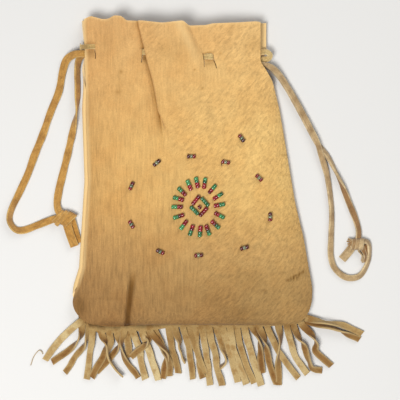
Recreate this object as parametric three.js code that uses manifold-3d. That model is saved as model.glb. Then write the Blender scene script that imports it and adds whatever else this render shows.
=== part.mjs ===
// A beaded medicine bag: a drawstring pouch of smoke-tanned buckskin, lying on its back.
//
// Millimetres, +Z up. The bag lies on the floor, z = 0, with its mouth towards +Y, and x = 0, y = 0
// is the middle of the bag with its fringe. The pouch is a front and a back panel. Two fringe strips
// are caught in the bottom seam, two flat thongs run round the mouth through paired slits, and short
// strings of seed beads are sewn on the front.
import * as THREE from 'three';
import { mergeVertices } from 'three/addons/utils/BufferGeometryUtils.js';
import Module from 'manifold-3d';

const { smoothstep, lerp, clamp, degToRad, mapLinear } = THREE.MathUtils;
const wasm = await Module();
wasm.setup();

// ---- driving dimensions ----
const GAP = 0.3;              // air left between pieces that touch
const HIDE = 1.3;             // thickness of the two panels
const THONG = 0.8;            // thickness of the laces and of the fringe
const LOFT = 9.6;             // how far the front panel stands off the back one in the middle
const BOTTOM = -66.5;         // y of the bottom seam
const MOUTH_LIFT = 1.2;       // how far the back panel rises off the floor at the mouth
const VENT = 4.7;             // height of the side gaps at the mouth, where the laces come out
const SEAM_STACK = 2 * THONG + 3 * GAP;   // height of the two fringe strips in the bottom seam
const BACK_MARGIN = 2.7;      // how far the back panel shows past the front one
const BEAD_RADIUS = 1.05;
const BEAD_LENGTH = 1.45;
const BEAD_SIDES = 6;

// rows, as y from and to, over which the pouch changes shape
const SEAM_ROWS = [-60, -50];     // the fringe strips stop lifting the front panel
const LIFT_ROWS = [58, 70];       // the back panel rises off the floor
const VENT_ROWS = [60, 71];       // the side seams open
const RIM_ROWS = [82, 97];        // the rows bend to follow the rim
const BELLY = 16;                 // length of the bottom's round
const SLIT = { width: THONG + 2 * GAP + 0.1, length: 8.5 };
const WINDOWS = [[-33.5, -27.5], [0.1, 6.6]];   // x of each pair of slits that a lace runs out and in by
const LEFT_SLIT = -57.9;      // x of the single slit by the left edge, where the right lace comes out

// each lace runs along a slightly slanting lane, y = at + slope * x
const LEFT_LACE = { width: 3.4, at: 79.2, slope: -0.025 };
const RIGHT_LACE = { width: 3.0, at: 78.5, slope: -0.1 };
const STRAND = { left: 4.2, right: 3.5, thickness: 1.0 };   // free ends of the laces, a little wider

// outline of the front panel: x of the sides against y, and y of the rim against x
const LEFT_EDGE = [[-66.5, -62.5], [-64, -66.5], [-59, -70.5], [-54, -71], [-36, -65.5], [12, -62.5],
  [50, -64], [98, -64.5]];
const RIGHT_EDGE = [[-66.5, 53], [-64, 56], [-58, 58.6], [-48, 59.6], [-20, 54.8], [0, 50],
  [50, 41.6], [66, 37.8], [73, 33.4], [76, 31.2], [98, 31.2]];
const RIM = [[-65, 99.5], [-61, 100.9], [-55, 99.3], [-48, 100.8], [-42.5, 98.6], [-22, 97],
  [-11, 97.9], [-8.4, 95.3], [1.5, 95.7], [18, 97.2], [28.4, 98.2], [32, 97.7]];

// ---- materials ----
const finish = (color, roughness) => new THREE.MeshStandardMaterial({ color, roughness, metalness: 0 });
const buckskin = finish(0xd9a868, 0.95);
const fringeHide = finish(0xb29a6e, 0.95);
const leftThong = finish(0xc89b50, 0.9);
const rightThong = finish(0xb4a48e, 0.9);
const redGlass = finish(0x96142a, 0.25);
const greenGlass = finish(0x3c9664, 0.25);

const bag = new THREE.Group();

/** Adds one named piece to the bag. */
function addPiece(name, geometry, material) {
  const piece = new THREE.Mesh(geometry, material);
  piece.name = name;
  bag.add(piece);
  return piece;
}

// ---- booleans ----

/** The closed solid of a geometry, for cutting and joining. */
function solid(geometry) {
  const bare = geometry.clone();
  bare.deleteAttribute('normal');
  bare.deleteAttribute('uv');
  const merged = mergeVertices(bare, 1e-4);
  const mesh = new wasm.Mesh({
    numProp: 3,
    vertProperties: new Float32Array(merged.attributes.position.array),
    triVerts: new Uint32Array(merged.index.array),
  });
  return new wasm.Manifold(mesh);
}

/** A three.js geometry of a solid. */
function geometryOf(manifold) {
  const { vertProperties, triVerts } = manifold.getMesh();
  const geometry = new THREE.BufferGeometry();
  geometry.setAttribute('position', new THREE.BufferAttribute(vertProperties, 3));
  geometry.setIndex(new THREE.BufferAttribute(triVerts, 1));
  return geometry;
}

/** One geometry made of several that run into each other. */
function join(geometries) {
  return geometryOf(geometries.map(solid).reduce((whole, next) => whole.add(next)));
}

// ---- the pouch's surfaces ----

/** The value at t of a line through [t, value] points. */
function along(points, t) {
  const next = points.findIndex(([at]) => at >= t);
  if (next === 0) return points[0][1];
  if (next < 0) return points.at(-1)[1];
  const [t0, v0] = points[next - 1];
  const [t1, v1] = points[next];
  return mapLinear(t, t0, t1, v0, v1);
}

/** Height of the back panel's top face: flat on the floor, then lifted at the mouth. */
const backTop = y => MOUTH_LIFT * smoothstep(y, ...LIFT_ROWS) + HIDE;

/** Height of the front panel's under face: seams at the sides, a round bottom, a crowned middle. */
function frontUnder(x, y) {
  const left = along(LEFT_EDGE, y);
  const right = along(RIGHT_EDGE, y);
  const across = clamp((2 * x - left - right) / (right - left), -1, 1);
  const sides = GAP + (SEAM_STACK - GAP) * (1 - smoothstep(y, ...SEAM_ROWS))
    + (VENT - GAP) * smoothstep(y, ...VENT_ROWS);
  const up = clamp((y - BOTTOM) / BELLY, 0, 1);
  const belly = Math.sqrt(1 - (1 - up) ** 2);
  return backTop(y) + sides + (LOFT - sides) * belly * (1 - Math.abs(across) ** 3);
}

const frontTop = (x, y) => frontUnder(x, y) + HIDE;

/** A closed sheet: an under and a top face over one grid, joined round the edge. */
function sheetGeometry(columns, rows, point) {
  const positions = [];
  const index = [];
  for (const side of [0, 1])
    for (let j = 0; j < rows; j++)
      for (let i = 0; i < columns; i++) positions.push(...point(i, j, side));
  const at = (side, i, j) => (side * rows + j) * columns + i;
  const quad = (a, b, c, d) => index.push(a, b, c, a, c, d);
  for (let j = 0; j < rows - 1; j++)
    for (let i = 0; i < columns - 1; i++) {
      quad(at(1, i, j), at(1, i + 1, j), at(1, i + 1, j + 1), at(1, i, j + 1));
      quad(at(0, i, j), at(0, i, j + 1), at(0, i + 1, j + 1), at(0, i + 1, j));
    }
  for (let i = 0; i < columns - 1; i++) {
    quad(at(0, i, 0), at(0, i + 1, 0), at(1, i + 1, 0), at(1, i, 0));
    quad(at(0, i + 1, rows - 1), at(0, i, rows - 1), at(1, i, rows - 1), at(1, i + 1, rows - 1));
  }
  for (let j = 0; j < rows - 1; j++) {
    quad(at(0, 0, j + 1), at(0, 0, j), at(1, 0, j), at(1, 0, j + 1));
    quad(at(0, columns - 1, j), at(0, columns - 1, j + 1), at(1, columns - 1, j + 1), at(1, columns - 1, j));
  }
  const geometry = new THREE.BufferGeometry();
  geometry.setAttribute('position', new THREE.Float32BufferAttribute(positions, 3));
  geometry.setIndex(index);
  return geometry;
}

const ROWS = [-66.5, -65.5, -63.5, -60, -56, -52, -44, -30, -12, 6, 24, 42, 56, 60, 64, 68, 71, 76, 82,
  90, 97];
const COLUMNS = 17;

/** A panel over the pouch's outline, widened at its sides, with its faces at the given heights. */
function panel(marginLeft, marginRight, under) {
  return sheetGeometry(COLUMNS, ROWS.length, (i, j, side) => {
    const row = ROWS[j];
    const left = along(LEFT_EDGE, row) - marginLeft(row);
    const right = along(RIGHT_EDGE, row) + marginRight(row);
    const x = lerp(left, right, i / (COLUMNS - 1));
    const y = row + (along(RIM, x) - ROWS.at(-1)) * smoothstep(row, ...RIM_ROWS);
    return [x, y, under(x, y) + side * HIDE];
  });
}

const laneY = (lace, x) => lace.at + lace.slope * x;

/** The cutter of a vertical slit at x, its top end a little over the lace that runs through it. */
function slitCutter(lace, x) {
  const top = laneY(lace, x) + lace.width / 2 + GAP + 0.1;
  const cutter = new THREE.BoxGeometry(SLIT.width, SLIT.length, 4 * LOFT);
  return solid(cutter.translate(x, top - SLIT.length / 2, LOFT));
}

/** How far the back panel shows past the front one on the right: hardly, and then fully at the mouth. */
const rightMargin = row => lerp(0.4, BACK_MARGIN, smoothstep(row, 62, 76));

function addPanels() {
  let front = solid(panel(() => 0, () => 0, frontUnder)).subtract(slitCutter(RIGHT_LACE, LEFT_SLIT));
  let back = solid(panel(() => BACK_MARGIN, rightMargin, (x, y) => backTop(y) - HIDE));
  for (const x of WINDOWS.flat()) {
    front = front.subtract(slitCutter(LEFT_LACE, x));
    back = back.subtract(slitCutter(RIGHT_LACE, x));
  }
  addPiece('front_panel', geometryOf(front), buckskin);
  addPiece('back_panel', geometryOf(back), buckskin);
}

// ---- fringe ----

/** A flat strip lying level along a polyline of [x, y, z], width across it and thickness in z. */
function flatStrip(points, width, thickness) {
  const corners = [];
  points.forEach(([x, y, z], k) => {
    const [x0, y0] = points[Math.max(k - 1, 0)];
    const [x1, y1] = points[Math.min(k + 1, points.length - 1)];
    const side = new THREE.Vector2(y0 - y1, x1 - x0).setLength(width / 2);
    for (const [s, t] of [[-1, -1], [1, -1], [1, 1], [-1, 1]])
      corners.push(x + s * side.x, y + s * side.y, z + t * thickness / 2);
  });
  const index = [];
  const quad = (a, b, c, d) => index.push(a, b, c, a, c, d);
  for (let k = 0; k < points.length - 1; k++)
    for (let c = 0; c < 4; c++) {
      const d = (c + 1) % 4;
      quad(4 * k + c, 4 * k + d, 4 * k + 4 + d, 4 * k + 4 + c);
    }
  const last = 4 * (points.length - 1);
  quad(3, 2, 1, 0);
  quad(last, last + 1, last + 2, last + 3);
  const geometry = new THREE.BufferGeometry();
  geometry.setAttribute('position', new THREE.Float32BufferAttribute(corners, 3));
  geometry.setIndex(index);
  return geometry;
}

const FRINGE_WIDTH = 3.4;
const FRINGE_TOP = -68.5;     // y where the strip's band ends and its strands begin
const BAND = { length: 124, height: 8, middle: -6 };   // the uncut part of a strip, and x of its middle
const DROP = 5.5;             // y over which a strand drops from the seam to the floor
const DROP_ROWS = [-71, -74, -77];

// each strand: x at its root, then the x, y of its bend and of its tip
const FRONT_STRANDS = [[-67.5, -67, -76, -83, -88], [-61, -62, -84, -64, -97.4], [-56, -54, -81, -61, -96.5],
  [-48, -46.5, -80, -59, -93], [-44.5, -44.5, -84, -36, -96.5], [-39, -35.5, -80, -32, -97.5],
  [-32, -29.5, -84, -24.5, -98], [-27.5, -20, -82.5, -22, -97], [-16, -13.5, -79, -10.5, -88],
  [-11, -8.5, -79, -5.5, -97.5], [-1, 2, -84, 3.5, -100.9], [3, 6, -84, 10.5, -100.9],
  [10, 14, -80, 19, -99], [14.5, 17, -82, 23.5, -100], [22.5, 26.5, -86, 31.5, -100.7],
  [30.5, 34, -76, 40, -100], [40.5, 41.5, -77, 41.5, -100.7], [46, 51, -85, 57, -94.5],
  [51.5, 60.5, -78, 70.5, -90], [54.5, 70, -69, 87.4, -71]];
const BACK_STRANDS = [[-66, -77, -76, -86.5, -86.5], [-64, -64.5, -77, -76, -94],
  [-52, -52.5, -81, -45, -96],
  [-42, -41.5, -78, -40.5, -85], [-30.5, -30.5, -77, -40, -85], [-30, -21.5, -81, -18.5, -96],
  [-19, -17.5, -79, -14, -94], [-8, -4.5, -79, 0, -97], [-4, -4, -80, 0.5, -94], [7, 10, -82, 10.5, -91],
  [18.5, 22, -84, 28, -99.5], [26.5, 30.5, -76, 32.5, -94], [35, 40.5, -80, 52, -97],
  [49, 55.5, -79, 62, -92], [53, 68, -73.5, 85, -79]];

/** A fringe strip cut from one piece: a band in the seam, and strands that drop to their own height. */
function fringe(strands, seamHeight, lowHeight, dropFrom) {
  const band = new THREE.BoxGeometry(BAND.length, BAND.height, THONG);
  band.translate(BAND.middle, FRINGE_TOP + BAND.height / 2, seamHeight);
  const height = y => lerp(seamHeight, lowHeight, smoothstep(dropFrom - y, 0, DROP));
  const strips = strands.map(([rootX, bendX, bendY, tipX, tipY]) => {
    const down = y => lerp(rootX, bendX, (FRINGE_TOP - y) / (FRINGE_TOP - bendY));
    const drop = DROP_ROWS.filter(y => y > bendY + 1).map(y => [down(y), y]);
    const route = [[rootX, FRINGE_TOP + BAND.height / 3], [rootX, FRINGE_TOP], ...drop, [bendX, bendY],
      [tipX, tipY]];
    return flatStrip(route.map(([x, y]) => [x, y, height(y)]), FRINGE_WIDTH, THONG);
  });
  return join([band, ...strips]);
}

function addFringes() {
  const seam = HIDE + GAP + THONG / 2;
  const floor = GAP / 3 + THONG / 2;
  const layer = THONG + GAP;
  addPiece('fringe_back', fringe(BACK_STRANDS, seam, floor, FRINGE_TOP), fringeHide);
  const later = FRINGE_TOP - DROP / 2;     // the front strands drop once the back ones are down
  addPiece('fringe_front', fringe(FRONT_STRANDS, seam + layer, floor + layer, later), fringeHide);
}

// ---- the laces where the bag holds them ----

/** The closed outline of a band of constant thickness along a polyline of Vector2. */
function bandShape(line, thickness) {
  const normals = line.slice(1).map((point, k) => {
    const step = point.clone().sub(line[k]).normalize();
    return new THREE.Vector2(-step.y, step.x);
  });
  const edge = side => line.map((point, k) => {
    const before = normals[Math.max(k - 1, 0)];
    const after = normals[Math.min(k, normals.length - 1)];
    const mitre = before.clone().add(after).divideScalar(1 + before.dot(after));
    return point.clone().addScaledVector(mitre, side * thickness / 2);
  });
  return new THREE.Shape([...edge(-1), ...edge(1).reverse()]);
}

/** A lace as a side profile in x and z, extruded over its width and slanted along its lane. */
function laceGeometry(lace, line) {
  const options = { depth: lace.width, bevelEnabled: false };
  const geometry = new THREE.ExtrudeGeometry(bandShape(line, THONG), options);
  geometry.rotateX(Math.PI / 2).translate(0, lace.width / 2, 0);
  const slant = new THREE.Matrix4().set(1, 0, 0, 0, lace.slope, 1, 0, lace.at, 0, 0, 1, 0, 0, 0, 0, 1);
  return geometry.applyMatrix4(slant);
}

/** Half a turn in x and z from one height to another, bulging sideways by reach. */
function halfTurn(x, fromZ, toZ, reach) {
  const steps = 6;
  return Array.from({ length: steps + 1 }, (_, k) => {
    const angle = Math.PI * k / steps;
    return new THREE.Vector2(x + reach * Math.sin(angle), lerp(fromZ, toZ, (1 - Math.cos(angle)) / 2));
  });
}

const HALF = THONG / 2;
const STEP = THONG + GAP;
const EXIT_LEFT = -64.6;      // x where a lace's held part ends and its free strand begins
const EXIT_RIGHT = 32;
const TURN_RIGHT = 36.2;      // x where the left lace turns round the right side
const TURN_LEFT = -65.2;      // x where the right lace turns round the left side
const backLayer = layer => HIDE + MOUTH_LIFT + GAP + HALF + layer * STEP;

/** The three heights a lace can take at the front panel: over it, just under it, one layer deeper. */
function frontHeights(lace) {
  const under = x => frontUnder(x, laneY(lace, x));
  return {
    over: x => under(x) + HIDE + GAP + HALF,
    inside: x => under(x) - GAP - HALF,
    deep: x => under(x) - GAP - HALF - STEP,
  };
}

const trace = (xs, height) => xs.map(x => new THREE.Vector2(x, height(x)));

/** The left lace: out and in by the front windows, round the right side, and back inside. */
function leftLaceLine() {
  const { over, inside } = frontHeights(LEFT_LACE);
  const [[a, b], [c, d]] = WINDOWS;
  const right = along(RIGHT_EDGE, laneY(LEFT_LACE, EXIT_RIGHT));
  const turn = halfTurn(TURN_RIGHT, inside(right), backLayer(1), 1.3);
  return [
    ...trace([EXIT_LEFT, -61, -58, -52, -46, -40, a], inside),
    ...trace([a, b], over),
    ...trace([b, -20, -10, c], inside),
    ...trace([c, d], over),
    ...trace([d, 13, 19, 25, right], inside),
    ...turn,
    new THREE.Vector2(EXIT_LEFT, backLayer(1)),
  ];
}

/** The right lace: deep inside the front, out by the left slit, and back through the back windows. */
function rightLaceLine() {
  const { over, deep } = frontHeights(RIGHT_LACE);
  const [[a, b], [c, d]] = WINDOWS;
  const below = MOUTH_LIFT - GAP - HALF;
  const inside = backLayer(0);
  const backRun = [[a, inside], [a, below], [b, below], [b, inside], [c, inside], [c, below],
    [d, below], [d, inside], [EXIT_RIGHT, inside]];
  return [
    ...trace([EXIT_RIGHT, 25, 19, 13, d, c, -10, -20, -30, -40, -46, -52, LEFT_SLIT], deep),
    ...trace([LEFT_SLIT, -61], over),
    ...halfTurn(TURN_LEFT, over(TURN_LEFT), inside, -2),
    ...backRun.map(([x, z]) => new THREE.Vector2(x, z)),
  ];
}

function addHeldLaces() {
  addPiece('left_lace_held', laceGeometry(LEFT_LACE, leftLaceLine()), leftThong);
  addPiece('right_lace_held', laceGeometry(RIGHT_LACE, rightLaceLine()), rightThong);
}

// ---- the free strands and their knots ----

// Each strand's route, [x, y, z]: out of the bag at the height of its layer, down onto the floor, and
// along it to its knot. The first right strand lies on the second one up to where they cross.
const LEFT_FRONT_ROUTE = [[-64.9, 80.8, 6.6], [-67.5, 80.9, 6.2], [-71.5, 80.2, 4.4], [-75.3, 77.4, 1.8],
  [-77.4, 70.8, 0.6], [-79.4, 60.5, 0.6], [-83.8, 49.5, 0.6], [-88.4, 36.3, 0.6], [-92.6, 25.9, 0.6],
  [-96.4, 15.4, 0.6], [-101.4, 4.4, 0.6], [-105.4, -4.4, 0.6], [-106.2, -10.5, 0.6], [-103, -15.1, 0.6],
  [-98.1, -15.4, 0.6], [-90.9, -12.7, 0.7], [-81.3, -9.2, 2.2]];
const LEFT_BACK_ROUTE = [[-64.9, 80.7, 4.3], [-66.4, 80.6, 4.2], [-68.8, 78.6, 3.3], [-70.1, 75, 1.8],
  [-70.3, 70, 0.6], [-70, 62, 0.6], [-70.2, 51.2, 0.6], [-70.9, 44.6, 0.6], [-72.2, 36.3, 0.6],
  [-74.7, 25.3, 0.6],
  [-77.2, 15.4, 0.6], [-79.4, 6.1, 0.6], [-80.2, -1, 0.7], [-78.7, -4.7, 2.0]];
const RIGHT_FRONT_ROUTE = [[32.3, 74.9, 5.4], [34.4, 74.7, 5.4], [37.4, 73.4, 4.9], [40.5, 70.9, 3.6],
  [43.8, 66.7, 2.2], [47.4, 60.9, 1.9], [51.7, 53.5, 1.9], [56.2, 45, 1.9], [60.2, 37.5, 1.9],
  [62.8, 31.9, 1.9],
  [64.6, 25.9, 1.8], [66.4, 20, 1.3], [68, 14.3, 0.6], [69.7, 3.3, 0.6], [70.5, -7.2, 0.6],
  [70.1, -20.4, 0.6],
  [70.1, -30, 0.6], [72.6, -37, 0.6], [79, -41.6, 0.6], [86, -40.4, 0.6], [90.4, -33, 0.6],
  [91.4, -25.5, 0.7], [89.9, -21.6, 2.0]];
const RIGHT_BACK_ROUTE = [[32.3, 74.9, 3.3], [34.2, 74.7, 3.4], [37.2, 73.2, 3.3], [40.3, 70.6, 2.1],
  [43.6, 66.4, 0.8], [47.2, 60.6, 0.6], [51.5, 53.1, 0.6], [56, 44.7, 0.6], [60, 37.2, 0.6],
  [63.4, 31, 0.6], [68, 25.3, 0.6], [72.4, 17.1, 0.6], [76.8, 7.7, 0.6], [80.1, -0.6, 0.6],
  [83.2, -8.3, 0.6], [85, -14.5, 0.8],
  [85.1, -18.2, 1.8]];

/** A smooth route whose frames stay level, so that a flat section carried along it doesn't roll. */
class LevelRoute extends THREE.CatmullRomCurve3 {
  computeFrenetFrames(steps) {
    const tangents = Array.from({ length: steps + 1 }, (_, k) => this.getTangentAt(k / steps));
    const binormals = tangents.map(({ x, y }) => new THREE.Vector3(-y, x, 0).normalize());
    const normals = tangents.map((tangent, k) => binormals[k].clone().cross(tangent));
    return { tangents, normals, binormals };
  }
}

/** A free strand: a flat eight-sided section carried along its route. */
function addStrand(name, route, width, material) {
  const flat = [[-0.5, -0.42], [-0.3, -0.5], [0.3, -0.5], [0.5, -0.42], [0.5, 0.42], [0.3, 0.5],
    [-0.3, 0.5], [-0.5, 0.42]];
  const corners = flat.map(([t, w]) => new THREE.Vector2(t * STRAND.thickness, w * width));
  const path = new LevelRoute(route.map(point => new THREE.Vector3(...point)));
  const options = { steps: 2 * route.length, extrudePath: path, bevelEnabled: false };
  addPiece(name, new THREE.ExtrudeGeometry(new THREE.Shape(corners), options), material);
}

/** An overhand knot: a flattened lump with a wrap drawn tight round it, and two square-cut tails. */
function addKnot(name, { x, y, size, tails, turn, width }, material) {
  const flattening = 0.5;
  const lump = new THREE.SphereGeometry(size, 12, 6).scale(1, 0.88, flattening);
  const wrap = new THREE.TorusGeometry(0.72 * size, 0.26 * size, 6, 12);
  wrap.rotateY(Math.PI / 2).scale(1, 1, flattening);
  const body = [lump, wrap].map(part => part.rotateZ(turn).translate(x, y, size * flattening + 0.1));
  const ends = tails.map(([tipX, tipY, z]) => {
    const middle = [(x + tipX) / 2, (y + tipY) / 2, z];
    return flatStrip([[x, y, z + 0.6], middle, [tipX, tipY, z]], width, STRAND.thickness);
  });
  addPiece(name, join([...body, ...ends]), material);
}

function addFreeLaces() {
  addStrand('left_lace_front_strand', LEFT_FRONT_ROUTE, STRAND.left, leftThong);
  addStrand('left_lace_back_strand', LEFT_BACK_ROUTE, STRAND.left, leftThong);
  addStrand('right_lace_front_strand', RIGHT_FRONT_ROUTE, STRAND.right, rightThong);
  addStrand('right_lace_back_strand', RIGHT_BACK_ROUTE, STRAND.right, rightThong);
  addKnot('left_lace_knot', { x: -75.5, y: -9.2, size: 5.2, turn: -1, width: 4,
    tails: [[-71.6, -24.5, 0.6], [-70, -19.5, 1.9]] }, leftThong);
  addKnot('right_lace_knot', { x: 83.8, y: -23.1, size: 4.6, turn: 0.8, width: 3.6,
    tails: [[76.6, -31.5, 0.6], [85.6, -31.5, 0.6]] }, rightThong);
}

// ---- beads ----

/** A string of ring-shaped beads as one turned solid: each bead a barrel between two waists. */
function beadString(count) {
  const waist = 0.6;
  const profile = [new THREE.Vector2(0, 0), new THREE.Vector2(waist * BEAD_RADIUS, 0)];
  for (let bead = 0; bead < count; bead++)
    for (const [radius, t] of [[1, 0.3], [1, 0.7], [waist, 1]])
      profile.push(new THREE.Vector2(radius * BEAD_RADIUS, (bead + t) * BEAD_LENGTH));
  profile.push(new THREE.Vector2(0, count * BEAD_LENGTH));
  return new THREE.LatheGeometry(profile, BEAD_SIDES).translate(0, -count * BEAD_LENGTH / 2, 0);
}

/** Sews a string of beads on the front panel: its middle over (x, y), lying along an angle. */
function addBeads(name, count, x, y, angle, material) {
  const reach = count * BEAD_LENGTH / 2;
  const end = side => [x + side * reach * Math.cos(angle), y + side * reach * Math.sin(angle)];
  const [back, front] = [end(-1), end(1)].map(([px, py]) => new THREE.Vector3(px, py, frontTop(px, py)));
  const piece = addPiece(name, beadString(count), material);
  const slope = front.clone().sub(back).normalize();
  const clearance = BEAD_RADIUS / Math.hypot(slope.x, slope.y) + GAP;
  piece.position.set(x, y, Math.max(frontTop(x, y), (back.z + front.z) / 2) + clearance);
  piece.quaternion.setFromUnitVectors(new THREE.Vector3(0, 1, 0), slope);
}

const SUN = { x: -2.1, y: -2.9 };
// each ray's angle in degrees and the distance of its inner end from the middle
const RAYS = [
  [6.5, 7.8], [31, 8.6], [55, 9], [78, 10.3], [96, 10.4], [115, 10.2], [138, 9.7], [158, 9.3],
  [179, 9.1], [-156.5, 9.3], [-132, 9.8], [-109.6, 10.2], [-88.5, 10], [-70, 10.1], [-47.5, 9.7], [-22, 8.6],
];
const DIAMOND = [[-2.1, 3.4], [2.9, -2.2], [-1.9, -7.6], [-6.9, -2.6]];
// middle and angle of each short string that is scattered round the sun
const ACCENTS = [[20.6, 34.5, -55], [-6.5, 24.6, 0], [-25.2, 21.1, 40], [12, 21.5, -10], [30.1, 13.1, -45],
  [-38.9, 8.6, 65], [36.2, -8.1, 90], [-38.9, -12.2, -60], [22.1, -24.8, 15], [-23.3, -26.9, -25],
  [-2.6, -28.8, 3]];

/** The beaded sun: rays of two red and two green beads, a diamond of four strings, one bead inside. */
function addSun() {
  RAYS.forEach(([degrees, start], ray) => {
    const angle = degToRad(degrees);
    [['red', redGlass], ['green', greenGlass]].forEach(([colour, glass], part) => {
      const radius = start + BEAD_LENGTH + part * (2 * BEAD_LENGTH + GAP);
      const [x, y] = [SUN.x + radius * Math.cos(angle), SUN.y + radius * Math.sin(angle)];
      addBeads(`sun_ray_${ray + 1}_${colour}`, 2, x, y, angle, glass);
    });
  });
  DIAMOND.forEach(([x0, y0], side) => {
    const [x1, y1] = DIAMOND[(side + 1) % DIAMOND.length];
    const length = Math.hypot(x1 - x0, y1 - y0);
    const middle = (length + BEAD_RADIUS + GAP) / 2 / length;
    const glass = side % 2 === 0 ? greenGlass : redGlass;
    addBeads(`sun_diamond_side_${side + 1}`, 4, lerp(x0, x1, middle), lerp(y0, y1, middle),
      Math.atan2(y1 - y0, x1 - x0), glass);
  });
  addBeads('sun_centre_bead', 1, SUN.x, SUN.y, 0.6, redGlass);
}

function addAccents() {
  ACCENTS.forEach(([x, y, degrees], k) => {
    addBeads(`accent_${k + 1}`, 3, x, y, degToRad(degrees), redGlass);
  });
}

addPanels();
addFringes();
addHeldLaces();
addFreeLaces();
addSun();
addAccents();

export default bag;
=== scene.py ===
import math

import bpy
import numpy as np
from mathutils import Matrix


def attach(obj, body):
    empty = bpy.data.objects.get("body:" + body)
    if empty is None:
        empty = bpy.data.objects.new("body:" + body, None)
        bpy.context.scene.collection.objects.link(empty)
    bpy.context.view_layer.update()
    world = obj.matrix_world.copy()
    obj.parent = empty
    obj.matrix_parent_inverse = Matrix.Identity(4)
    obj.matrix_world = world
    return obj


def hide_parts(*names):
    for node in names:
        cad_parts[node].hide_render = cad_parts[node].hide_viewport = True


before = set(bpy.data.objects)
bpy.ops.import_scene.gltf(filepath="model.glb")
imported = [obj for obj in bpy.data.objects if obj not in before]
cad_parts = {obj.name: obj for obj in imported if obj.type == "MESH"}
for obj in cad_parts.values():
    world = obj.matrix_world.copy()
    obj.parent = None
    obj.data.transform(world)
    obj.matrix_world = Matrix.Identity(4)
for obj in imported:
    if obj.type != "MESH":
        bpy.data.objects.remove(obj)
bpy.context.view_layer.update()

# ---- The table top, the lamps and the camera -------------------------------------------------
# The bag lies on its back on a plain pale table under one broad soft lamp, high up beyond its lower
# left corner, with a weak fill from the opposite side, and is seen from straight above.

MM = 0.001


def shade(red, green, blue):
    """A colour given in the usual steps of 0 to 255, as the renderer's linear colour with alpha."""
    steps = np.array([red, green, blue]) / 255
    linear = np.where(steps <= 0.04045, steps / 12.92, ((steps + 0.055) / 1.055) ** 2.4)
    return (*linear.tolist(), 1.0)


def node(tree, kind, **settings):
    """Adds a shader node. A setting named as a socket fills or joins it; any other is a property."""
    made = tree.nodes.new("ShaderNode" + kind)
    for name, value in settings.items():
        socket = made.inputs.get(name.replace("_", " "))
        if socket is None:
            setattr(made, name, value)
        elif isinstance(value, bpy.types.NodeSocket):
            tree.links.new(value, socket)
        else:
            socket.default_value = value
    return made


def new_finish(name, roughness, **settings):
    """A material with one plain Principled surface; gives the material, its tree and that surface."""
    finish = bpy.data.materials.new(name)
    finish.use_nodes = True
    tree = finish.node_tree
    tree.nodes.clear()
    surface = node(tree, "BsdfPrincipled", Roughness=roughness, **settings)
    out = node(tree, "OutputMaterial")
    tree.links.new(surface.outputs[0], out.inputs["Surface"])
    return finish, tree, surface


def area_lamp(name, place, size, watts):
    """A square lamp at a place in metres, turned to the middle of the bag."""
    light = bpy.data.lights.new(name, "AREA")
    light.size = size
    light.energy = watts
    lamp = bpy.data.objects.new(name, light)
    bpy.context.scene.collection.objects.link(lamp)
    lamp.location = place
    lamp.rotation_euler = lamp.location.normalized().to_track_quat("Z", "Y").to_euler()


TABLE_HALF = 1.5
TABLE_Z = -0.0002         # a little under the hide, so that nothing sinks into it
table = bpy.data.meshes.new("table_top")
table.from_pydata([(x * TABLE_HALF, y * TABLE_HALF, TABLE_Z) for x, y in
                   ((-1, -1), (1, -1), (1, 1), (-1, 1))], [], [(0, 1, 2, 3)])
table.materials.append(new_finish("pale_table", 0.7, Base_Color=shade(214, 212, 208))[0])
table_top = bpy.data.objects.new("table_top", table)
bpy.context.scene.collection.objects.link(table_top)

area_lamp("key_lamp", (-0.24, -0.3, 0.88), size=0.4, watts=9)
area_lamp("fill_lamp", (0.45, 0.6, 0.6), size=0.6, watts=3)

world = bpy.data.worlds.new("studio")
world.use_nodes = True
sky = world.node_tree.nodes["Background"].inputs
sky["Color"].default_value = shade(236, 240, 246)
sky["Strength"].default_value = 0.3
bpy.context.scene.world = world
bpy.context.scene.view_settings.view_transform = "Standard"

VIEW_WIDTH = 0.22
VIEW_HEIGHT = 0.7
camera = bpy.data.objects.new("camera", bpy.data.cameras.new("camera"))
camera.data.lens = camera.data.sensor_width * VIEW_HEIGHT / VIEW_WIDTH
camera.location = (-0.0018, 0.0011, VIEW_HEIGHT)
bpy.context.scene.collection.objects.link(camera)
bpy.context.scene.camera = camera

# ---- The laces' free ends and their knots ----------------------------------------------------
# Two soft thongs cut from smoked hide, a yellow-tan one on the left and a greyer one on the right.
# Both ends of each come out on the same side and are tied together in an overhand knot.


def eased(places, stops, blend):
    """The value at each place of a line through (place, value) stops, with its corners rounded off: the
    mean of the line's own value at nine places up to blend either side."""
    at, values = np.transpose(stops)
    return np.mean([np.interp(places + blend * k, at, values) for k in np.linspace(-1, 1, 9)], axis=0)


def distances(line):
    """How far along a line each of its points is."""
    steps = np.linalg.norm(np.diff(line[:, :3], axis=0), axis=1)
    return np.concatenate([[0], np.cumsum(steps)])


CUBIC_STEPS = 12          # straight steps that each cubic is worked out in


def smooth_line(stops, places=None, spacing=0.6):
    """A smooth line through rows of x, y, z and what else goes along it, taken at the given distances or
    in even steps. Between two rows it is the Catmull-Rom cubic, whose slope at each row is half the way
    from the row before to the row after."""
    p = np.asarray(stops, float)
    p = np.vstack([2 * p[0] - p[1], p, 2 * p[-1] - p[-2]])
    t = np.linspace(0, 1, CUBIC_STEPS, endpoint=False)[:, None]
    a, b, c, d = (p[k:len(p) - 3 + k, None] for k in range(4))
    line = 0.5 * (2 * b + (c - a) * t + (2 * a - 5 * b + 4 * c - d) * t ** 2
                  + (3 * b - a - 3 * c + d) * t ** 3)
    line = np.vstack([line.reshape(-1, p.shape[1]), p[-2]])
    gone = distances(line)
    if places is None:
        places = np.linspace(0, gone[-1], round(gone[-1] / spacing) + 2)
    return np.stack([np.interp(places, gone, column) for column in line.T], 1)


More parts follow.
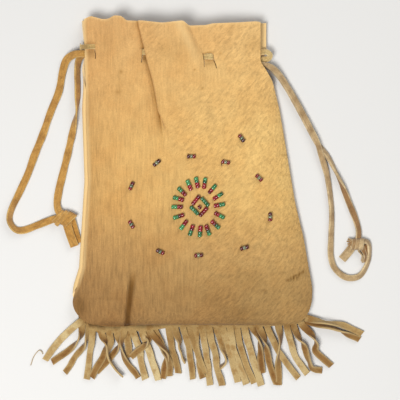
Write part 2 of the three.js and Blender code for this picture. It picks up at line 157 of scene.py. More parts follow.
def unit(vectors):
    """The same directions with a length of one."""
    return vectors / np.linalg.norm(vectors, axis=-1, keepdims=True)


WAVES = 14


def unevenness(x, y, size, seed):
    """A smooth unevenness of about -1 to 1: a sum of sine waves that run every way, each about size long."""
    draw = np.random.default_rng(seed)
    turn = draw.uniform(0, 2 * math.pi, WAVES)
    pitch = 2 * math.pi / (size * draw.uniform(0.6, 1.8, WAVES))
    start = draw.uniform(0, 2 * math.pi, WAVES)
    x, y = np.asarray(x)[..., None], np.asarray(y)[..., None]
    return np.sin((x * np.cos(turn) + y * np.sin(turn)) * pitch + start).sum(-1) / 4


def lay_of(line, twist):
    """Which way a flat strip on a line lies: the direction of its width, level where it has no twist and
    turned about the line by the twist in degrees, and the direction that its face looks."""
    ahead = unit(np.gradient(line, axis=0))
    level = unit(np.cross(ahead, [0, 0, 1]))
    up = np.cross(level, ahead)
    turn = np.radians(twist)[:, None]
    wide = np.cos(turn) * level + np.sin(turn) * up
    return wide, np.cross(wide, ahead)


CORNERS = 16              # of a thong's outline
EDGE_TONE = 1.3           # above the tones of a thong's two faces, 0 to 1


def thong(line, wide, face, width, thick, tones=(0.5, 0.5), soft=0.4):
    """A strip of hide as a tube: a rounded rectangle, the curve cos^soft, sin^soft, carried along the
    line with its width and its face in the given directions. Gives points, faces, and for each point
    its place across and along the strip and its tone, which has one value for each of its faces."""
    turn = 2 * math.pi * (np.arange(CORNERS) + 0.5) / CORNERS
    across = np.sign(np.cos(turn)) * np.abs(np.cos(turn)) ** soft
    deep = np.sign(np.sin(turn)) * np.abs(np.sin(turn)) ** soft
    width = np.broadcast_to(width, len(line))[:, None, None] / 2
    thick = np.broadcast_to(thick, len(line))[:, None, None] / 2
    points = (line[:, None] + wide[:, None] * across[:, None] * width
              + face[:, None] * deep[:, None] * thick)
    k = np.arange(CORNERS)
    ring = np.arange(len(line) - 1)[:, None] * CORNERS
    after = (k + 1) % CORNERS
    faces = np.stack([ring + k, ring + CORNERS + k, ring + CORNERS + after, ring + after], -1)
    last = (len(line) - 1) * CORNERS
    caps = [k.tolist(), (last + k[::-1]).tolist()]
    side = np.where(deep > 0, tones[0], tones[1]) * np.ones((len(line), 1))
    edge = np.abs(np.cos(turn)) > 0.8
    lay = np.stack([across * width[..., 0], distances(line)[:, None] + 0 * across,
                    np.where(edge, EDGE_TONE, side)], -1)
    return points.reshape(-1, 3), faces.reshape(-1, 4).tolist() + caps, lay.reshape(-1, 3)


def joined(parts):
    """Several (points, faces, lay) shells as one."""
    starts = np.cumsum([0] + [len(points) for points, _, _ in parts[:-1]])
    faces = [[corner + int(start) for corner in face]
             for start, (_, shell, _) in zip(starts, parts) for face in shell]
    return np.vstack([part[0] for part in parts]), faces, np.vstack([part[2] for part in parts])


def mark_cut_edges(mesh, cut_faces):
    """Gives a bevel weight to the edges where a face of the hide meets its knife-cut side, so that only
    they are rounded off: those with one cut face of two."""
    edges = np.empty(len(mesh.loops), np.int32)
    mesh.loops.foreach_get("edge_index", edges)
    corners = np.empty(len(mesh.polygons), np.int32)
    mesh.polygons.foreach_get("loop_total", corners)
    weight = (np.bincount(edges, np.repeat(cut_faces, corners)) == 1) & (np.bincount(edges) == 2)
    mesh.attributes.new("bevel_weight_edge", "FLOAT", "EDGE").data.foreach_set(
        "value", weight.astype(np.float32))


def add_piece(name, shell, finishes, replaced, crisp=38, cut_faces=None):
    """Makes a piece of the bag from points in millimetres and faces. Its lay is kept on its points for
    its finish to read. Edges sharper than crisp degrees stay sharp. Where some of its faces are cut
    edges, those have the second finish, and the edges round them can be rounded off."""
    points, faces, lay = shell
    mesh = bpy.data.meshes.new(name)
    mesh.from_pydata((points * MM).tolist(), [], faces)
    mesh.attributes.new("lay", "FLOAT_VECTOR", "POINT").data.foreach_set("vector", lay.ravel())
    for finish in finishes:
        mesh.materials.append(finish)
    if cut_faces is not None:
        mesh.polygons.foreach_set("material_index", cut_faces.astype(np.int32))
        mark_cut_edges(mesh, cut_faces)
    mesh.polygons.foreach_set("use_smooth", np.ones(len(faces), bool))
    mesh.set_sharp_from_angle(angle=math.radians(crisp))
    piece = bpy.data.objects.new(name, mesh)
    bpy.context.scene.collection.objects.link(piece)
    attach(piece, "root")
    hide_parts(*replaced)
    return piece


def make_nap():
    """The group of hide's own patterns, from a place in millimetres: the nap, the fine fibres that stand
    up on it; the mottling, where smoke and hands have coloured it unevenly; and the scratches, short
    fine creases along the grain."""
    group = bpy.data.node_groups.new("hide_nap", "ShaderNodeTree")
    group.interface.new_socket("Place", in_out="INPUT", socket_type="NodeSocketVector")
    for name in ("Nap", "Mottling", "Creases"):
        group.interface.new_socket(name, in_out="OUTPUT", socket_type="NodeSocketFloat")
    place = group.nodes.new("NodeGroupInput").outputs[0]
    out = group.nodes.new("NodeGroupOutput")
    nap = node(group, "TexNoise", Vector=place, Scale=1.5, Detail=4.0, Roughness=0.62)
    mottling = node(group, "TexNoise", Vector=place, Scale=0.16, Detail=5.0, Roughness=0.6)
    stretch = node(group, "Mapping", Vector=place, Scale=(1.0, 0.16, 1.0))
    creases = node(group, "TexNoise", Vector=stretch.outputs[0], Scale=0.95, Detail=3.0, Roughness=0.6)
    for made, socket in zip((nap, mottling, creases), out.inputs):
        group.links.new(made.outputs[0], socket)
    return group


hide_nap = make_nap()


def blend_colours(tree, kind, amount, first, second):
    """One colour over another by an amount, each of them a colour or a socket."""
    made = tree.nodes.new("ShaderNodeMix")
    made.data_type = "RGBA"
    made.blend_type = kind
    for socket, value in zip((made.inputs[0], made.inputs[6], made.inputs[7]), (amount, first, second)):
        if isinstance(value, bpy.types.NodeSocket):
            tree.links.new(value, socket)
        else:
            socket.default_value = value
    return made.outputs[2]


def ramp(tree, value, stops, smooth=False):
    """A colour ramp with its stops as (place, colour)."""
    made = node(tree, "ValToRGB", Fac=value)
    made.color_ramp.interpolation = "EASE" if smooth else "LINEAR"
    elements = made.color_ramp.elements
    while len(elements) < len(stops):
        elements.new(0.5)
    for element, (place, colour) in zip(elements, stops):
        element.position = place
        element.color = colour
    return made.outputs[0]


def grey(level):
    """A plain grey as a colour."""
    return (level, level, level, 1.0)


def remap(tree, value, low, high, start=0.0, end=1.0, **settings):
    """A value between low and high brought to the range from start to end, and held at its ends."""
    return node(tree, "MapRange", Value=value, From_Min=low, From_Max=high, To_Min=start, To_Max=end,
                **settings).outputs[0]


def shaded(tree, base, pattern, *stops):
    """A colour times a pattern. Its stops say how bright each value of it leaves the colour."""
    levels = ramp(tree, pattern, [(place, grey(level)) for place, level in stops])
    return blend_colours(tree, "MULTIPLY", 1.0, base, levels)


def hide_patterns(tree, place):
    """Hide's own patterns at a place in millimetres: its nap, its mottling and its creases."""
    patterns = tree.nodes.new("ShaderNodeGroup")
    patterns.node_tree = hide_nap
    tree.links.new(place, patterns.inputs[0])
    return patterns.outputs


def raise_grain(tree, surface, *patterns):
    """Small bumps, one set over another: each a pattern, its strength and its height in metres."""
    below = None
    for pattern, strength, height in patterns:
        bump = node(tree, "Bump", Strength=strength, Distance=height, Height=pattern)
        if below:
            tree.links.new(below, bump.inputs["Normal"])
        below = bump.outputs[0]
    tree.links.new(below, surface.inputs["Normal"])


def thong_finish(name, grain, flesh, cut, stain):
    """Soft hide cut in strips. The lay carried on the strip gives its place and its tone: 0 the grain
    side, 1 the flesh side, and above that the pale cut edge. Mottling stains it, the nap breaks it up."""
    finish, tree, surface = new_finish(name, 0.9, Sheen_Weight=0.25, Sheen_Roughness=0.6,
                                       Specular_IOR_Level=0.25)
    lay = node(tree, "Attribute", attribute_name="lay").outputs["Vector"]
    tone = remap(tree, node(tree, "SeparateXYZ", Vector=lay).outputs[2], 0, EDGE_TONE)
    nap, mottling, creases = hide_patterns(tree, lay)
    base = ramp(tree, tone, [(0.0, grain), (0.77, flesh), (0.93, cut)])
    stained = ramp(tree, mottling, [(0.40, grey(0.0)), (0.66, grey(0.55))], True)
    base = blend_colours(tree, "MIX", stained, base, stain)
    base = shaded(tree, base, nap, (0.3, 0.72), (0.7, 1.16))
    base = shaded(tree, base, creases, (0.36, 0.78), (0.5, 1.03))
    tree.links.new(base, surface.inputs["Base Color"])
    raise_grain(tree, surface, (nap, 0.5, 0.0002), (creases, 0.5, 0.0003))
    return finish


left_thong = thong_finish("yellow_tan_thong", shade(168, 118, 46), shade(198, 152, 80),
                          shade(204, 168, 98), shade(140, 92, 32))
right_thong = thong_finish("greyed_thong", shade(134, 92, 46), shade(196, 170, 126),
                           shade(208, 184, 140), shade(126, 92, 52))
sheltered_thong = thong_finish("sheltered_thong", shade(150, 114, 56), shade(206, 174, 110),
                               shade(218, 192, 138), shade(150, 114, 60))

# Each free end: its route in millimetres from the bag to the knot, and its twist in degrees at parts
# of its length. The routes are the solid model's own.
LEFT_FRONT = [(-62.6, 80.8, 6.1), (-64.9, 80.8, 6.4), (-67.5, 80.9, 6.2), (-71.5, 80.2, 4.4),
              (-75.3, 77.4, 1.8), (-77.4, 70.8, 0.75), (-79.4, 60.5, 0.7), (-83.8, 49.5, 0.7),
              (-88.4, 36.3, 0.7), (-92.6, 25.9, 0.7), (-96.4, 15.4, 0.7), (-101.4, 4.4, 0.7),
              (-105.4, -4.4, 0.7), (-106.2, -10.5, 0.7), (-103, -15.1, 0.7), (-98.1, -15.4, 0.7),
              (-90.9, -12.7, 0.8), (-83.5, -9.9, 1.6), (-78.9, -8.7, 2.4)]
LEFT_BACK = [(-62.8, 80.8, 4.2), (-64.9, 80.7, 4.3), (-66, 80.3, 4.2), (-67.8, 78.4, 3.3), (-68.9, 75, 1.8),
             (-69.2, 70, 0.8), (-69, 62, 0.7), (-69.3, 51.2, 0.7), (-70.5, 44.6, 0.7), (-72.2, 36.3, 0.7),
             (-74.7, 25.3, 0.7), (-77.2, 15.4, 0.7), (-79.4, 6.1, 0.7), (-80.3, -0.6, 0.8),
             (-79.6, -4.4, 1.8), (-77.8, -7.3, 2.5)]
RIGHT_FRONT = [(29.8, 75.1, 5.2), (32.3, 74.9, 5.4), (34.4, 74.7, 5.4), (37.4, 73.4, 4.9),
               (40.5, 70.9, 3.6), (43.8, 66.7, 2.5), (47.4, 60.9, 2.3), (51.7, 53.5, 2.3), (56.2, 45, 2.3),
               (60.2, 37.5, 2.3), (62.8, 31.9, 2.3), (64.6, 25.9, 2.1), (66.4, 20, 1.5), (68, 14.3, 0.8),
               (69.7, 3.3, 0.8), (70.5, -7.2, 0.8), (70.1, -20.4, 0.8), (70.1, -30, 0.8), (72.6, -37, 0.8),
               (79, -41.6, 0.8), (86, -40.4, 0.8), (90.3, -33, 0.8), (91.2, -26, 1.0), (90.3, -22.4, 1.7),
               (88.2, -21.5, 2.2), (86.3, -22.4, 2.4)]
RIGHT_BACK = [(30, 75.1, 3.3), (32.3, 74.9, 3.3), (34.2, 74.7, 3.4), (37.2, 73.2, 3.3), (40.3, 70.6, 2.1),
              (43.6, 66.4, 0.9), (47.2, 60.6, 0.8), (51.5, 53.1, 0.8), (56, 44.7, 0.8), (60, 37.2, 0.8),
              (63.4, 31, 0.8), (68, 25.3, 0.8), (72.4, 17.1, 0.8), (76.8, 7.7, 0.8), (80.1, -0.6, 0.8),
              (83.2, -8.3, 0.8), (85, -14.5, 0.9), (85.2, -18.4, 1.4), (85, -20.8, 1.4), (85, -22.8, 1.5)]
LEFT_FRONT_TWIST = [(0, 0), (0.52, -8), (0.64, 8), (0.73, 52), (0.79, 58), (0.87, 14), (1, 0)]
LEFT_BACK_TWIST = [(0, 35), (0.1, 52), (0.28, 50), (0.36, 86), (0.4, 104), (0.5, 168), (1, 190)]
RIGHT_FRONT_TWIST = [(0, 0), (0.2, 12), (0.36, -20), (0.46, 22), (0.52, 44), (0.62, 30), (0.72, 12),
                     (0.84, -14), (0.93, -58), (1, -50)]
RIGHT_BACK_TWIST = [(0, 0), (0.3, -15), (0.5, 30), (0.62, 62), (0.69, 100), (0.76, 158), (0.88, 186),
                    (0.94, 205), (1, 190)]


def free_end(route, stops, width, thick, tones, soft, seed):
    """A thong along its route, lifted where a twist sets it on edge, and cut by hand, so that its width
    and its thickness wander a little. Gives the shell and the line through its middle."""
    line = smooth_line(route)
    part = np.linspace(0, 1, len(line))
    twist = eased(part, stops, 0.025)
    line[:, 2] += (width - thick) / 2 * np.abs(np.sin(np.radians(twist)))
    wide, face = lay_of(line, twist)
    wander = unevenness(part * 160, part * 0, 14, seed)
    return thong(line, wide, face, width * (1 + 0.06 * wander), thick * (1 - 0.08 * wander), tones,
                 soft), line


# each lace's width, thickness and finish
LACES = {"left": (4.1, 1.3, left_thong), "right": (3.3, 1.8, right_thong)}
free_ends = []
for side, end, route, stops, tones, soft in (
        ("left", "front", LEFT_FRONT, LEFT_FRONT_TWIST, (0.5, 0.3), 0.45),
        ("left", "back", LEFT_BACK, LEFT_BACK_TWIST, (0.4, 0.6), 0.45),
        ("right", "front", RIGHT_FRONT, RIGHT_FRONT_TWIST, (0.7, 0.6), 0.7),
        ("right", "back", RIGHT_BACK, RIGHT_BACK_TWIST, (0.8, 0.15), 0.6)):
    width, thick, finish = LACES[side]
    shell, line = free_end(route, stops, width, thick, tones, soft, len(free_ends) + 1)
    piece = add_piece(f"{side}_lace_{end}_end", shell, [finish],
                      [f"{side}_lace_{end}_strand"])
    free_ends.append((side, piece, line))


def strip(stops, width, thick, tones, wide=None, soft=0.55):
    """A short length of thong through rows of x, y, z and, where wide is None, its twist in degrees;
    otherwise its width keeps the direction wide."""
    line = smooth_line(stops, spacing=0.4)
    if wide is None:
        return thong(line[:, :3], *lay_of(line[:, :3], line[:, 3]), width, thick, tones, soft)
    ahead = unit(np.gradient(line, axis=0))
    wide = unit(np.asarray(wide, float) - ahead * (ahead @ wide)[:, None])
    return thong(line, wide, np.cross(wide, ahead), width, thick, tones, soft)


def wound_band(middle, axis, half, width, lean, tones):
    """A little over one turn of thong wound round a bundle: an ellipse across the bundle's axis, which is
    given in degrees, with half its length and half its height, leaning along the axis."""
    along = np.array([math.cos(math.radians(axis)), math.sin(math.radians(axis)), 0])
    side = np.array([-along[1], along[0], 0])
    turn = np.radians(np.linspace(-212, 178, 44))[:, None]
    ring = (np.array(middle) + side * half[0] * np.cos(turn) + np.array([0, 0, half[1]]) * np.sin(turn)
            + along * lean * np.cos(turn))
    return strip(ring, width, 1.15, tones, along)


# the left knot: two turns side by side, a broad one over the place where the ends double back, and two
# flat tails one on the other
LEFT_AXIS = -36           # the way the knot's bundle runs, in degrees
left_knot = add_piece("left_knot", joined([
    wound_band((-79.2, -8.0, 2.6), LEFT_AXIS, (3.9, 1.7), 2.2, 0.5, (0.85, 0.8)),
    wound_band((-77.5, -8.9, 2.75), LEFT_AXIS, (4.6, 1.95), 2.3, 0.2, (0.7, 0.8)),
    wound_band((-74.3, -9.3, 2.6), LEFT_AXIS + 8, (3.9, 1.85), 4.9, 1.3, (0.35, 0.5)),
    strip([(-80.4, -7.4, 2.0), (-77.4, -8.8, 2.5), (-74.6, -9.3, 2.5), (-71.6, -9.8, 2.1)],
          5.6, 2.6, (0.3, 0.3), (0.62, 0.78, 0), 0.8),
    strip([(-75.2, -9.4, 1.9, 6), (-74.4, -13.2, 2.4, 4), (-72.9, -18, 2.2, 0), (-70.6, -24.4, 1.95, 0)],
          4.7, 1.25, (0.45, 0.7), soft=0.4),
    strip([(-72.6, -9.4, 1.5, 0), (-71.5, -13, 1.0, -6), (-70.4, -17, 0.75, 0), (-68.9, -22.6, 0.7, 0)],
          4.5, 1.25, (0.2, 0.7), soft=0.4),
]), [left_thong], ["left_lace_knot"])

# the right knot: a roll of three turns, frayed at its west end, one flat tail, and a second tail torn
# lengthways into shreds
RIGHT_AXIS = 2
# each frayed fibre: y at its root, x of its tip, and how far it bends sideways
FRAYS = ((-20.9, 79.4, 1.1), (-21.8, 78.7, 0.4), (-22.7, 79.1, -0.5), (-23.6, 79.6, -1.2),
         (-22.2, 80.0, 1.6))
frays = [strip([(82, y, 2.3, 0), (80.6, y + 0.2 * bend, 2.5, 30 * bend), (tip, y + 0.7 * bend, 1.9, 60)],
               1.0, 0.7, (0.15, 0.5)) for y, tip, bend in FRAYS]
# each shred: x at its root, how far it bows out, x and y of its tip, height, twist, width and tone
SHREDS = ((85.2, 0.1, 87.0, -32.6, 1.9, 40, 1.6, 0.6), (87.2, 0.7, 88.2, -32.0, 2.5, 10, 2.4, 0.1),
          (88.2, 0.9, 88.8, -30.6, 2.1, -30, 2.2, 0.25), (88.0, 0.3, 87.6, -33.4, 1.4, 60, 1.2, 0.45),
          (88.9, 0.8, 89.4, -29.2, 2.6, 25, 1.6, 0.0), (87.7, 1.4, 88.8, -33.4, 1.1, -50, 2.0, 0.15))
shreds = [strip([(root, -23.4, 2.2, 0), (root + 0.6 * bow, -26.4, height, turn),
                 (tip + bow, -29.4, height - 0.3, turn + 40), (tip, end_y, 0.9, turn + 70)],
                wide, 0.8, (tone, tone + 0.3))
          for root, bow, tip, end_y, height, turn, wide, tone in SHREDS]
right_knot = add_piece("right_knot", joined([
    wound_band((82.4, -23.1, 2.4), RIGHT_AXIS, (2.5, 1.75), 2.3, 0.5, (0.55, 0.4)),
    wound_band((84.4, -23.1, 2.5), RIGHT_AXIS, (2.6, 1.9), 2.4, 0.7, (0.75, 0.6)),
    wound_band((86.5, -23.2, 2.55), RIGHT_AXIS, (2.8, 2.0), 2.5, 0.3, (1.0, 0.9)),
    strip([(80.6, -22.6, 2.1), (83.5, -23, 2.4), (87.9, -23.3, 2.3)],
          4.2, 2.8, (0.3, 0.3), (0, 1, 0), 0.8),
    strip([(82.8, -22.8, 1.6, 0), (80.6, -26.2, 1.5, -6), (78.8, -28.6, 1.0, 0), (76.2, -31.6, 0.75, 0)],
          4.6, 1.3, (0.9, 0.7), soft=0.4),
    *frays, *shreds,
]), [right_thong], ["right_lace_knot"])

# ---- The back panel --------------------------------------------------------------------------
# Smoked buckskin, sewn to the front inside out and turned. It lies flat; along the left side it
# rolls up to the seam and shows as a pale welt, and at the mouth it ends in a free cut edge.

HIDE = 1.3                # thickness of both panels
ROW_STEP = 0.8            # height of a row of cells in a panel
BOTTOM = -66.5            # y of the bottom seam
NOMINAL_RIM = 97          # y of the mouth's rim, before its uneven cut
LOFT = 9.6                # how far the empty pouch stands open in the middle
MOUTH_LIFT = 1.2          # how far the back rises from the table at the mouth
VENT = 4.7                # how far the sides stand open above the seams
SEAM_STACK = 2.5          # height of the two fringe strips in the bottom seam
EDGE_BLEND = 1.2          # how far up and down the corners of a side are rounded off
# The two sides as (y, x), and the rim as (x, y).
LEFT_EDGE = [(-66.8, -60), (-66, -63), (-64.8, -65.6), (-63, -67.7), (-60.7, -69.5), (-58, -70.8),
             (-54.5, -71.3), (-50, -70.2), (-45, -68.3), (-36, -65.5), (12, -62.5), (50, -63.8),
             (98, -64.6)]
RIGHT_EDGE = [(-66.8, 51), (-65.6, 53.4), (-63.5, 55.8), (-60, 57.8), (-55, 59.2), (-48, 59.6), (-20, 54.8),
              (0, 50), (50, 41.6), (66, 37.8), (73, 33.4), (76, 31.2), (98, 31.2)]
RIM = [(-65, 99.2), (-61, 100.9), (-55, 99.3), (-51, 99.3), (-48, 100.9), (-44.5, 100.6), (-42, 98.4),
       (-36, 98), (-34, 98), (-22, 96.7), (-11, 97.9), (-9.2, 96), (-8, 95.3), (1.5, 95.7), (5, 96.6),
       (18, 97.2), (28.4, 98.2), (32, 97.7)]


def ramp_up(value, low, high):
    """0 below low, 1 above high, and between them the even curve t * t * (3 - 2 * t)."""
    t = np.clip((value - low) / (high - low), 0, 1)
    return t * t * (3 - 2 * t)


def left_edge(y):
    """x of the bag's left side at y."""
    return eased(y, LEFT_EDGE, EDGE_BLEND)


def right_edge(y):
    """x of the bag's right side at y."""
    return eased(y, RIGHT_EDGE, EDGE_BLEND)


def rim_at(x):
    """y of the mouth's uneven cut rim at x."""
    return eased(x, RIM, 0.8)


def to_rim(rows, x):
    """y of a panel's points: each row's own y, and towards the mouth more and more the rim's shape."""
    return rows + (rim_at(x) - NOMINAL_RIM) * ramp_up(rows, 84, NOMINAL_RIM)


def between(anchors, counts, powers=None):
    """Columns laid between anchor lines: for each gap, its count of steps from one anchor to the next,
    closed up towards an end where that gap has a power: t ** p, or from the far end when p is minus."""
    parts = []
    for k, count in enumerate(counts):
        t = np.arange(count) / count
        power = (powers or {}).get(k, 1)
        t = t ** power if power > 0 else 1 - (1 - t) ** -power
        parts.append(anchors[k] + (anchors[k + 1] - anchors[k]) * t)
    return np.concatenate(parts + [anchors[-1]], axis=1)


def shell_of(grid, keep, thickness, lay, face=None):
    """A sheet of hide with its thickness. The grid's points move half of it along face, or along the
    sheet's normal, for one side and half against it for the other; where a kept cell has no kept
    neighbour, a strip of quads closes the edge. Gives the shell and which of its faces are cut edges."""
    rows, columns = grid.shape[:2]
    if face is None:
        face = unit(np.cross(np.gradient(grid, axis=1), np.gradient(grid, axis=0)))
    count = rows * columns
    number = np.arange(count).reshape(rows, columns)
    corner = (number[:-1, :-1], number[:-1, 1:], number[1:, 1:], number[1:, :-1])
    ringed = np.pad(keep, 1)
    beyond = (ringed[:-2, 1:-1], ringed[1:-1, 2:], ringed[2:, 1:-1], ringed[1:-1, :-2])
    top = np.stack([c[keep] for c in corner], -1)
    edges = []
    for side in range(4):
        bare = keep & ~beyond[side]
        a, b = corner[side][bare], corner[(side + 1) % 4][bare]
        edges.append(np.stack([b, a, a + count, b + count], -1))
    edges = np.concatenate(edges)
    faces = np.concatenate([top, top[:, ::-1] + count, edges])
    cut = np.arange(len(faces)) >= 2 * len(top)
    points = np.concatenate([(grid + face * thickness / 2).reshape(-1, 3),
                             (grid - face * thickness / 2).reshape(-1, 3)])
    lay = np.concatenate([lay.reshape(-1, 3), lay.reshape(-1, 3)])
    used, faces = np.unique(faces, return_inverse=True)
    return (points[used], faces.reshape(-1, 4).tolist(), lay[used]), cut


def running(angle, step, x, z):
    """A sheet's line across, from the start x, z: the running sum of equal steps in its direction, which
    turns by angle, in radians, from level. One line for each row."""
    ahead = (angle[:, 1:] + angle[:, :-1]) / 2
    dx = np.cumsum(np.cos(ahead) * step, axis=1)
    dz = np.cumsum(np.sin(ahead) * step, axis=1)
    zero = np.zeros((len(angle), 1))
    return x + np.hstack([zero, dx]), z + np.hstack([zero, dz])


def millimetres(tree):
    """The place of a point in millimetres."""
    place = node(tree, "TexCoord").outputs["Object"]
    return node(tree, "VectorMath", operation="SCALE", Vector=place, Scale=1000.0).outputs[0]


def ridges_of(tree, mm, x, y):
    """The grain's fine ridges: upright streaks on the left, fainter towards the mouth, and slanting
    creases on the right. The line between the two wanders by some 26 millimetres either way."""
    upright = node(tree, "Mapping", Vector=mm, Rotation=(0, 0, math.radians(3)), Scale=(1.0, 0.11, 1.0))
    streaks = node(tree, "TexNoise", Vector=upright.outputs[0], Scale=0.95, Detail=2.0, Roughness=0.5,
                   Distortion=0.15).outputs[0]
    streaks = blend_colours(tree, "MIX", remap(tree, y, -25, 40, 0.1, 0.45), streaks, grey(0.5))
    slanting = node(tree, "Mapping", vector_type="TEXTURE", Vector=mm, Rotation=(0, 0, math.radians(46)),
                    Scale=(2.8, 1.1, 1.0))
    slants = node(tree, "TexNoise", Vector=slanting.outputs[0], Scale=0.85, Detail=2.0, Roughness=0.5,
                  Distortion=0.35).outputs[0]
    wander = node(tree, "TexNoise", Vector=mm, Scale=0.03, Detail=1.0).outputs[0]
    shifted = node(tree, "Math", operation="ADD")
    tree.links.new(x, shifted.inputs[0])
    tree.links.new(remap(tree, wander, 0.3, 0.7, -26, 26), shifted.inputs[1])
    rightwards = remap(tree, shifted.outputs[0], -26, 14, interpolation_type="SMOOTHSTEP")
    return blend_colours(tree, "MIX", rightwards, streaks, slants)


def soft_hide_finish(name, cut):
    """Smoked buckskin. Along the bag its colour goes from pale orange-tan at the mouth to the browner tan of
    its handled lower quarter. Fine vertical streaks lie on the left and slanting creases on the right. What
    is kept on its points pales it, the first number, where it is worn and where a highlight is painted, and
    darkens it, the third, where it is dirty and where shade and shadow are painted. A cut edge is mostly one
    pale colour."""
    finish, tree, surface = new_finish(name, 0.92, Sheen_Weight=0.08, Specular_IOR_Level=0.22)
    mm = millimetres(tree)
    x, y, _ = node(tree, "SeparateXYZ", Vector=mm).outputs
    nap, mottling, _ = hide_patterns(tree, mm)
    kept = node(tree, "Attribute", attribute_name="lay").outputs["Vector"]
    pale_wear_and_highlight, _, soiled_and_shaded = node(tree, "SeparateXYZ", Vector=kept).outputs
    base = ramp(tree, remap(tree, y, -70, 100),
                [(0.0, shade(156, 122, 73)), (0.12, shade(164, 130, 79)), (0.26, shade(189, 152, 94)),
                 (0.42, shade(214, 175, 107)), (0.6, shade(221, 182, 113)), (0.8, shade(221, 181, 115)),
                 (1.0, shade(222, 181, 118))])
    # it is darker and redder towards the left, and smoke has browned it in broad patches
    base = blend_colours(tree, "MULTIPLY", remap(tree, x, 45, -62), base, (0.83, 0.74, 0.71, 1.0))
    patchy = node(tree, "TexNoise", Vector=mm, Scale=0.055, Detail=4.0, Roughness=0.6).outputs[0]
    patchy = ramp(tree, patchy, [(0.38, grey(0.0)), (0.68, grey(0.42))], True)
    base = blend_colours(tree, "MULTIPLY", patchy, base, (0.90, 0.78, 0.66, 1.0))
    base = shaded(tree, base, mottling, (0.38, 0.95), (0.66, 1.05))
    ridges = blend_colours(tree, "MIX", pale_wear_and_highlight, ridges_of(tree, mm, x, y), grey(0.5))
    base = shaded(tree, base, ridges, (0.32, 0.84), (0.5, 1.0), (0.68, 1.12))
    base = shaded(tree, base, nap, (0.3, 0.86), (0.7, 1.08))
    # painted highlight, with some real wear: paler where the lay's first number says
    base = blend_colours(tree, "MIX", pale_wear_and_highlight, base, shade(232, 200, 142))
    # painted shade and shadow, with some real dirt: darker where the lay's third number says
    base = blend_colours(tree, "MULTIPLY", remap(tree, soiled_and_shaded, 0, 0.8), base, (0.38, 0.29, 0.10, 1.0))
    if cut:
        base = blend_colours(tree, "MIX", 0.8, base, shade(236, 206, 156))
    tree.links.new(base, surface.inputs["Base Color"])
    raise_grain(tree, surface, (nap, 0.45, 0.0002), (ridges, 0.75, 0.001))
    return finish


def soften(piece, width, finish=-1):
    """Rounds a piece's cut edges a little, as a knife leaves them in soft hide; the rounding has the
    piece's finish of that number, or its neighbours' own."""
    bevel = piece.modifiers.new("worn_edges", "BEVEL")
    bevel.width = width * MM
    bevel.segments = 2
    bevel.limit_method = "WEIGHT"
    bevel.material = finish


buckskin = soft_hide_finish("smoked_buckskin", False)
buckskin_cut = soft_hide_finish("buckskin_cut_edge", True)


def hide_panel(name, made, replaced):
    """A panel of buckskin from its grid, which of its cells are hide, and what is kept on its points."""
    grid, keep, lay = made
    shell, cut = shell_of(grid, keep, HIDE, lay)
    panel = add_piece(name, shell, [buckskin, buckskin_cut], [replaced], cut_faces=cut)
    soften(panel, 0.3, 1)
    return panel


SLIT_WIDTH = 0.5
BACK_SLITS = (-33.5, -27.5, 0.1, 6.6)       # x of the slits in the back
SLIT_LENGTH = 8.5
SLIT_ABOVE = 1.9          # how far a slit in the back reaches above the middle of its lace
WELT_RADIUS = 0.72
WELT_TURN = math.radians(235)
WELT_STEPS = 14
SEAM_TURN = math.radians(85)                # how far the right side turns up at its seam
SEAM_STEPS = 6


def right_lane(x):
    """y of the right lace inside the mouth, at x."""
    return 78.5 - 0.1 * x


def slit_edges(*lines):
    """The two edges of each slit, half its width to either side of its line."""
    return [line + way * SLIT_WIDTH / 2 for line in lines for way in (-1, 1)]


def cut_slits(rows, columns, slits):
    """Which of a panel's cells are hide: all but the slits, each a column and its lower and upper end."""
    keep = np.ones((len(rows) - 1, columns), bool)
    middles = (rows[1:, 0] + rows[:-1, 0]) / 2
    for column, low, high in slits:
        keep[(middles > low) & (middles < high), column] = False
    return keep


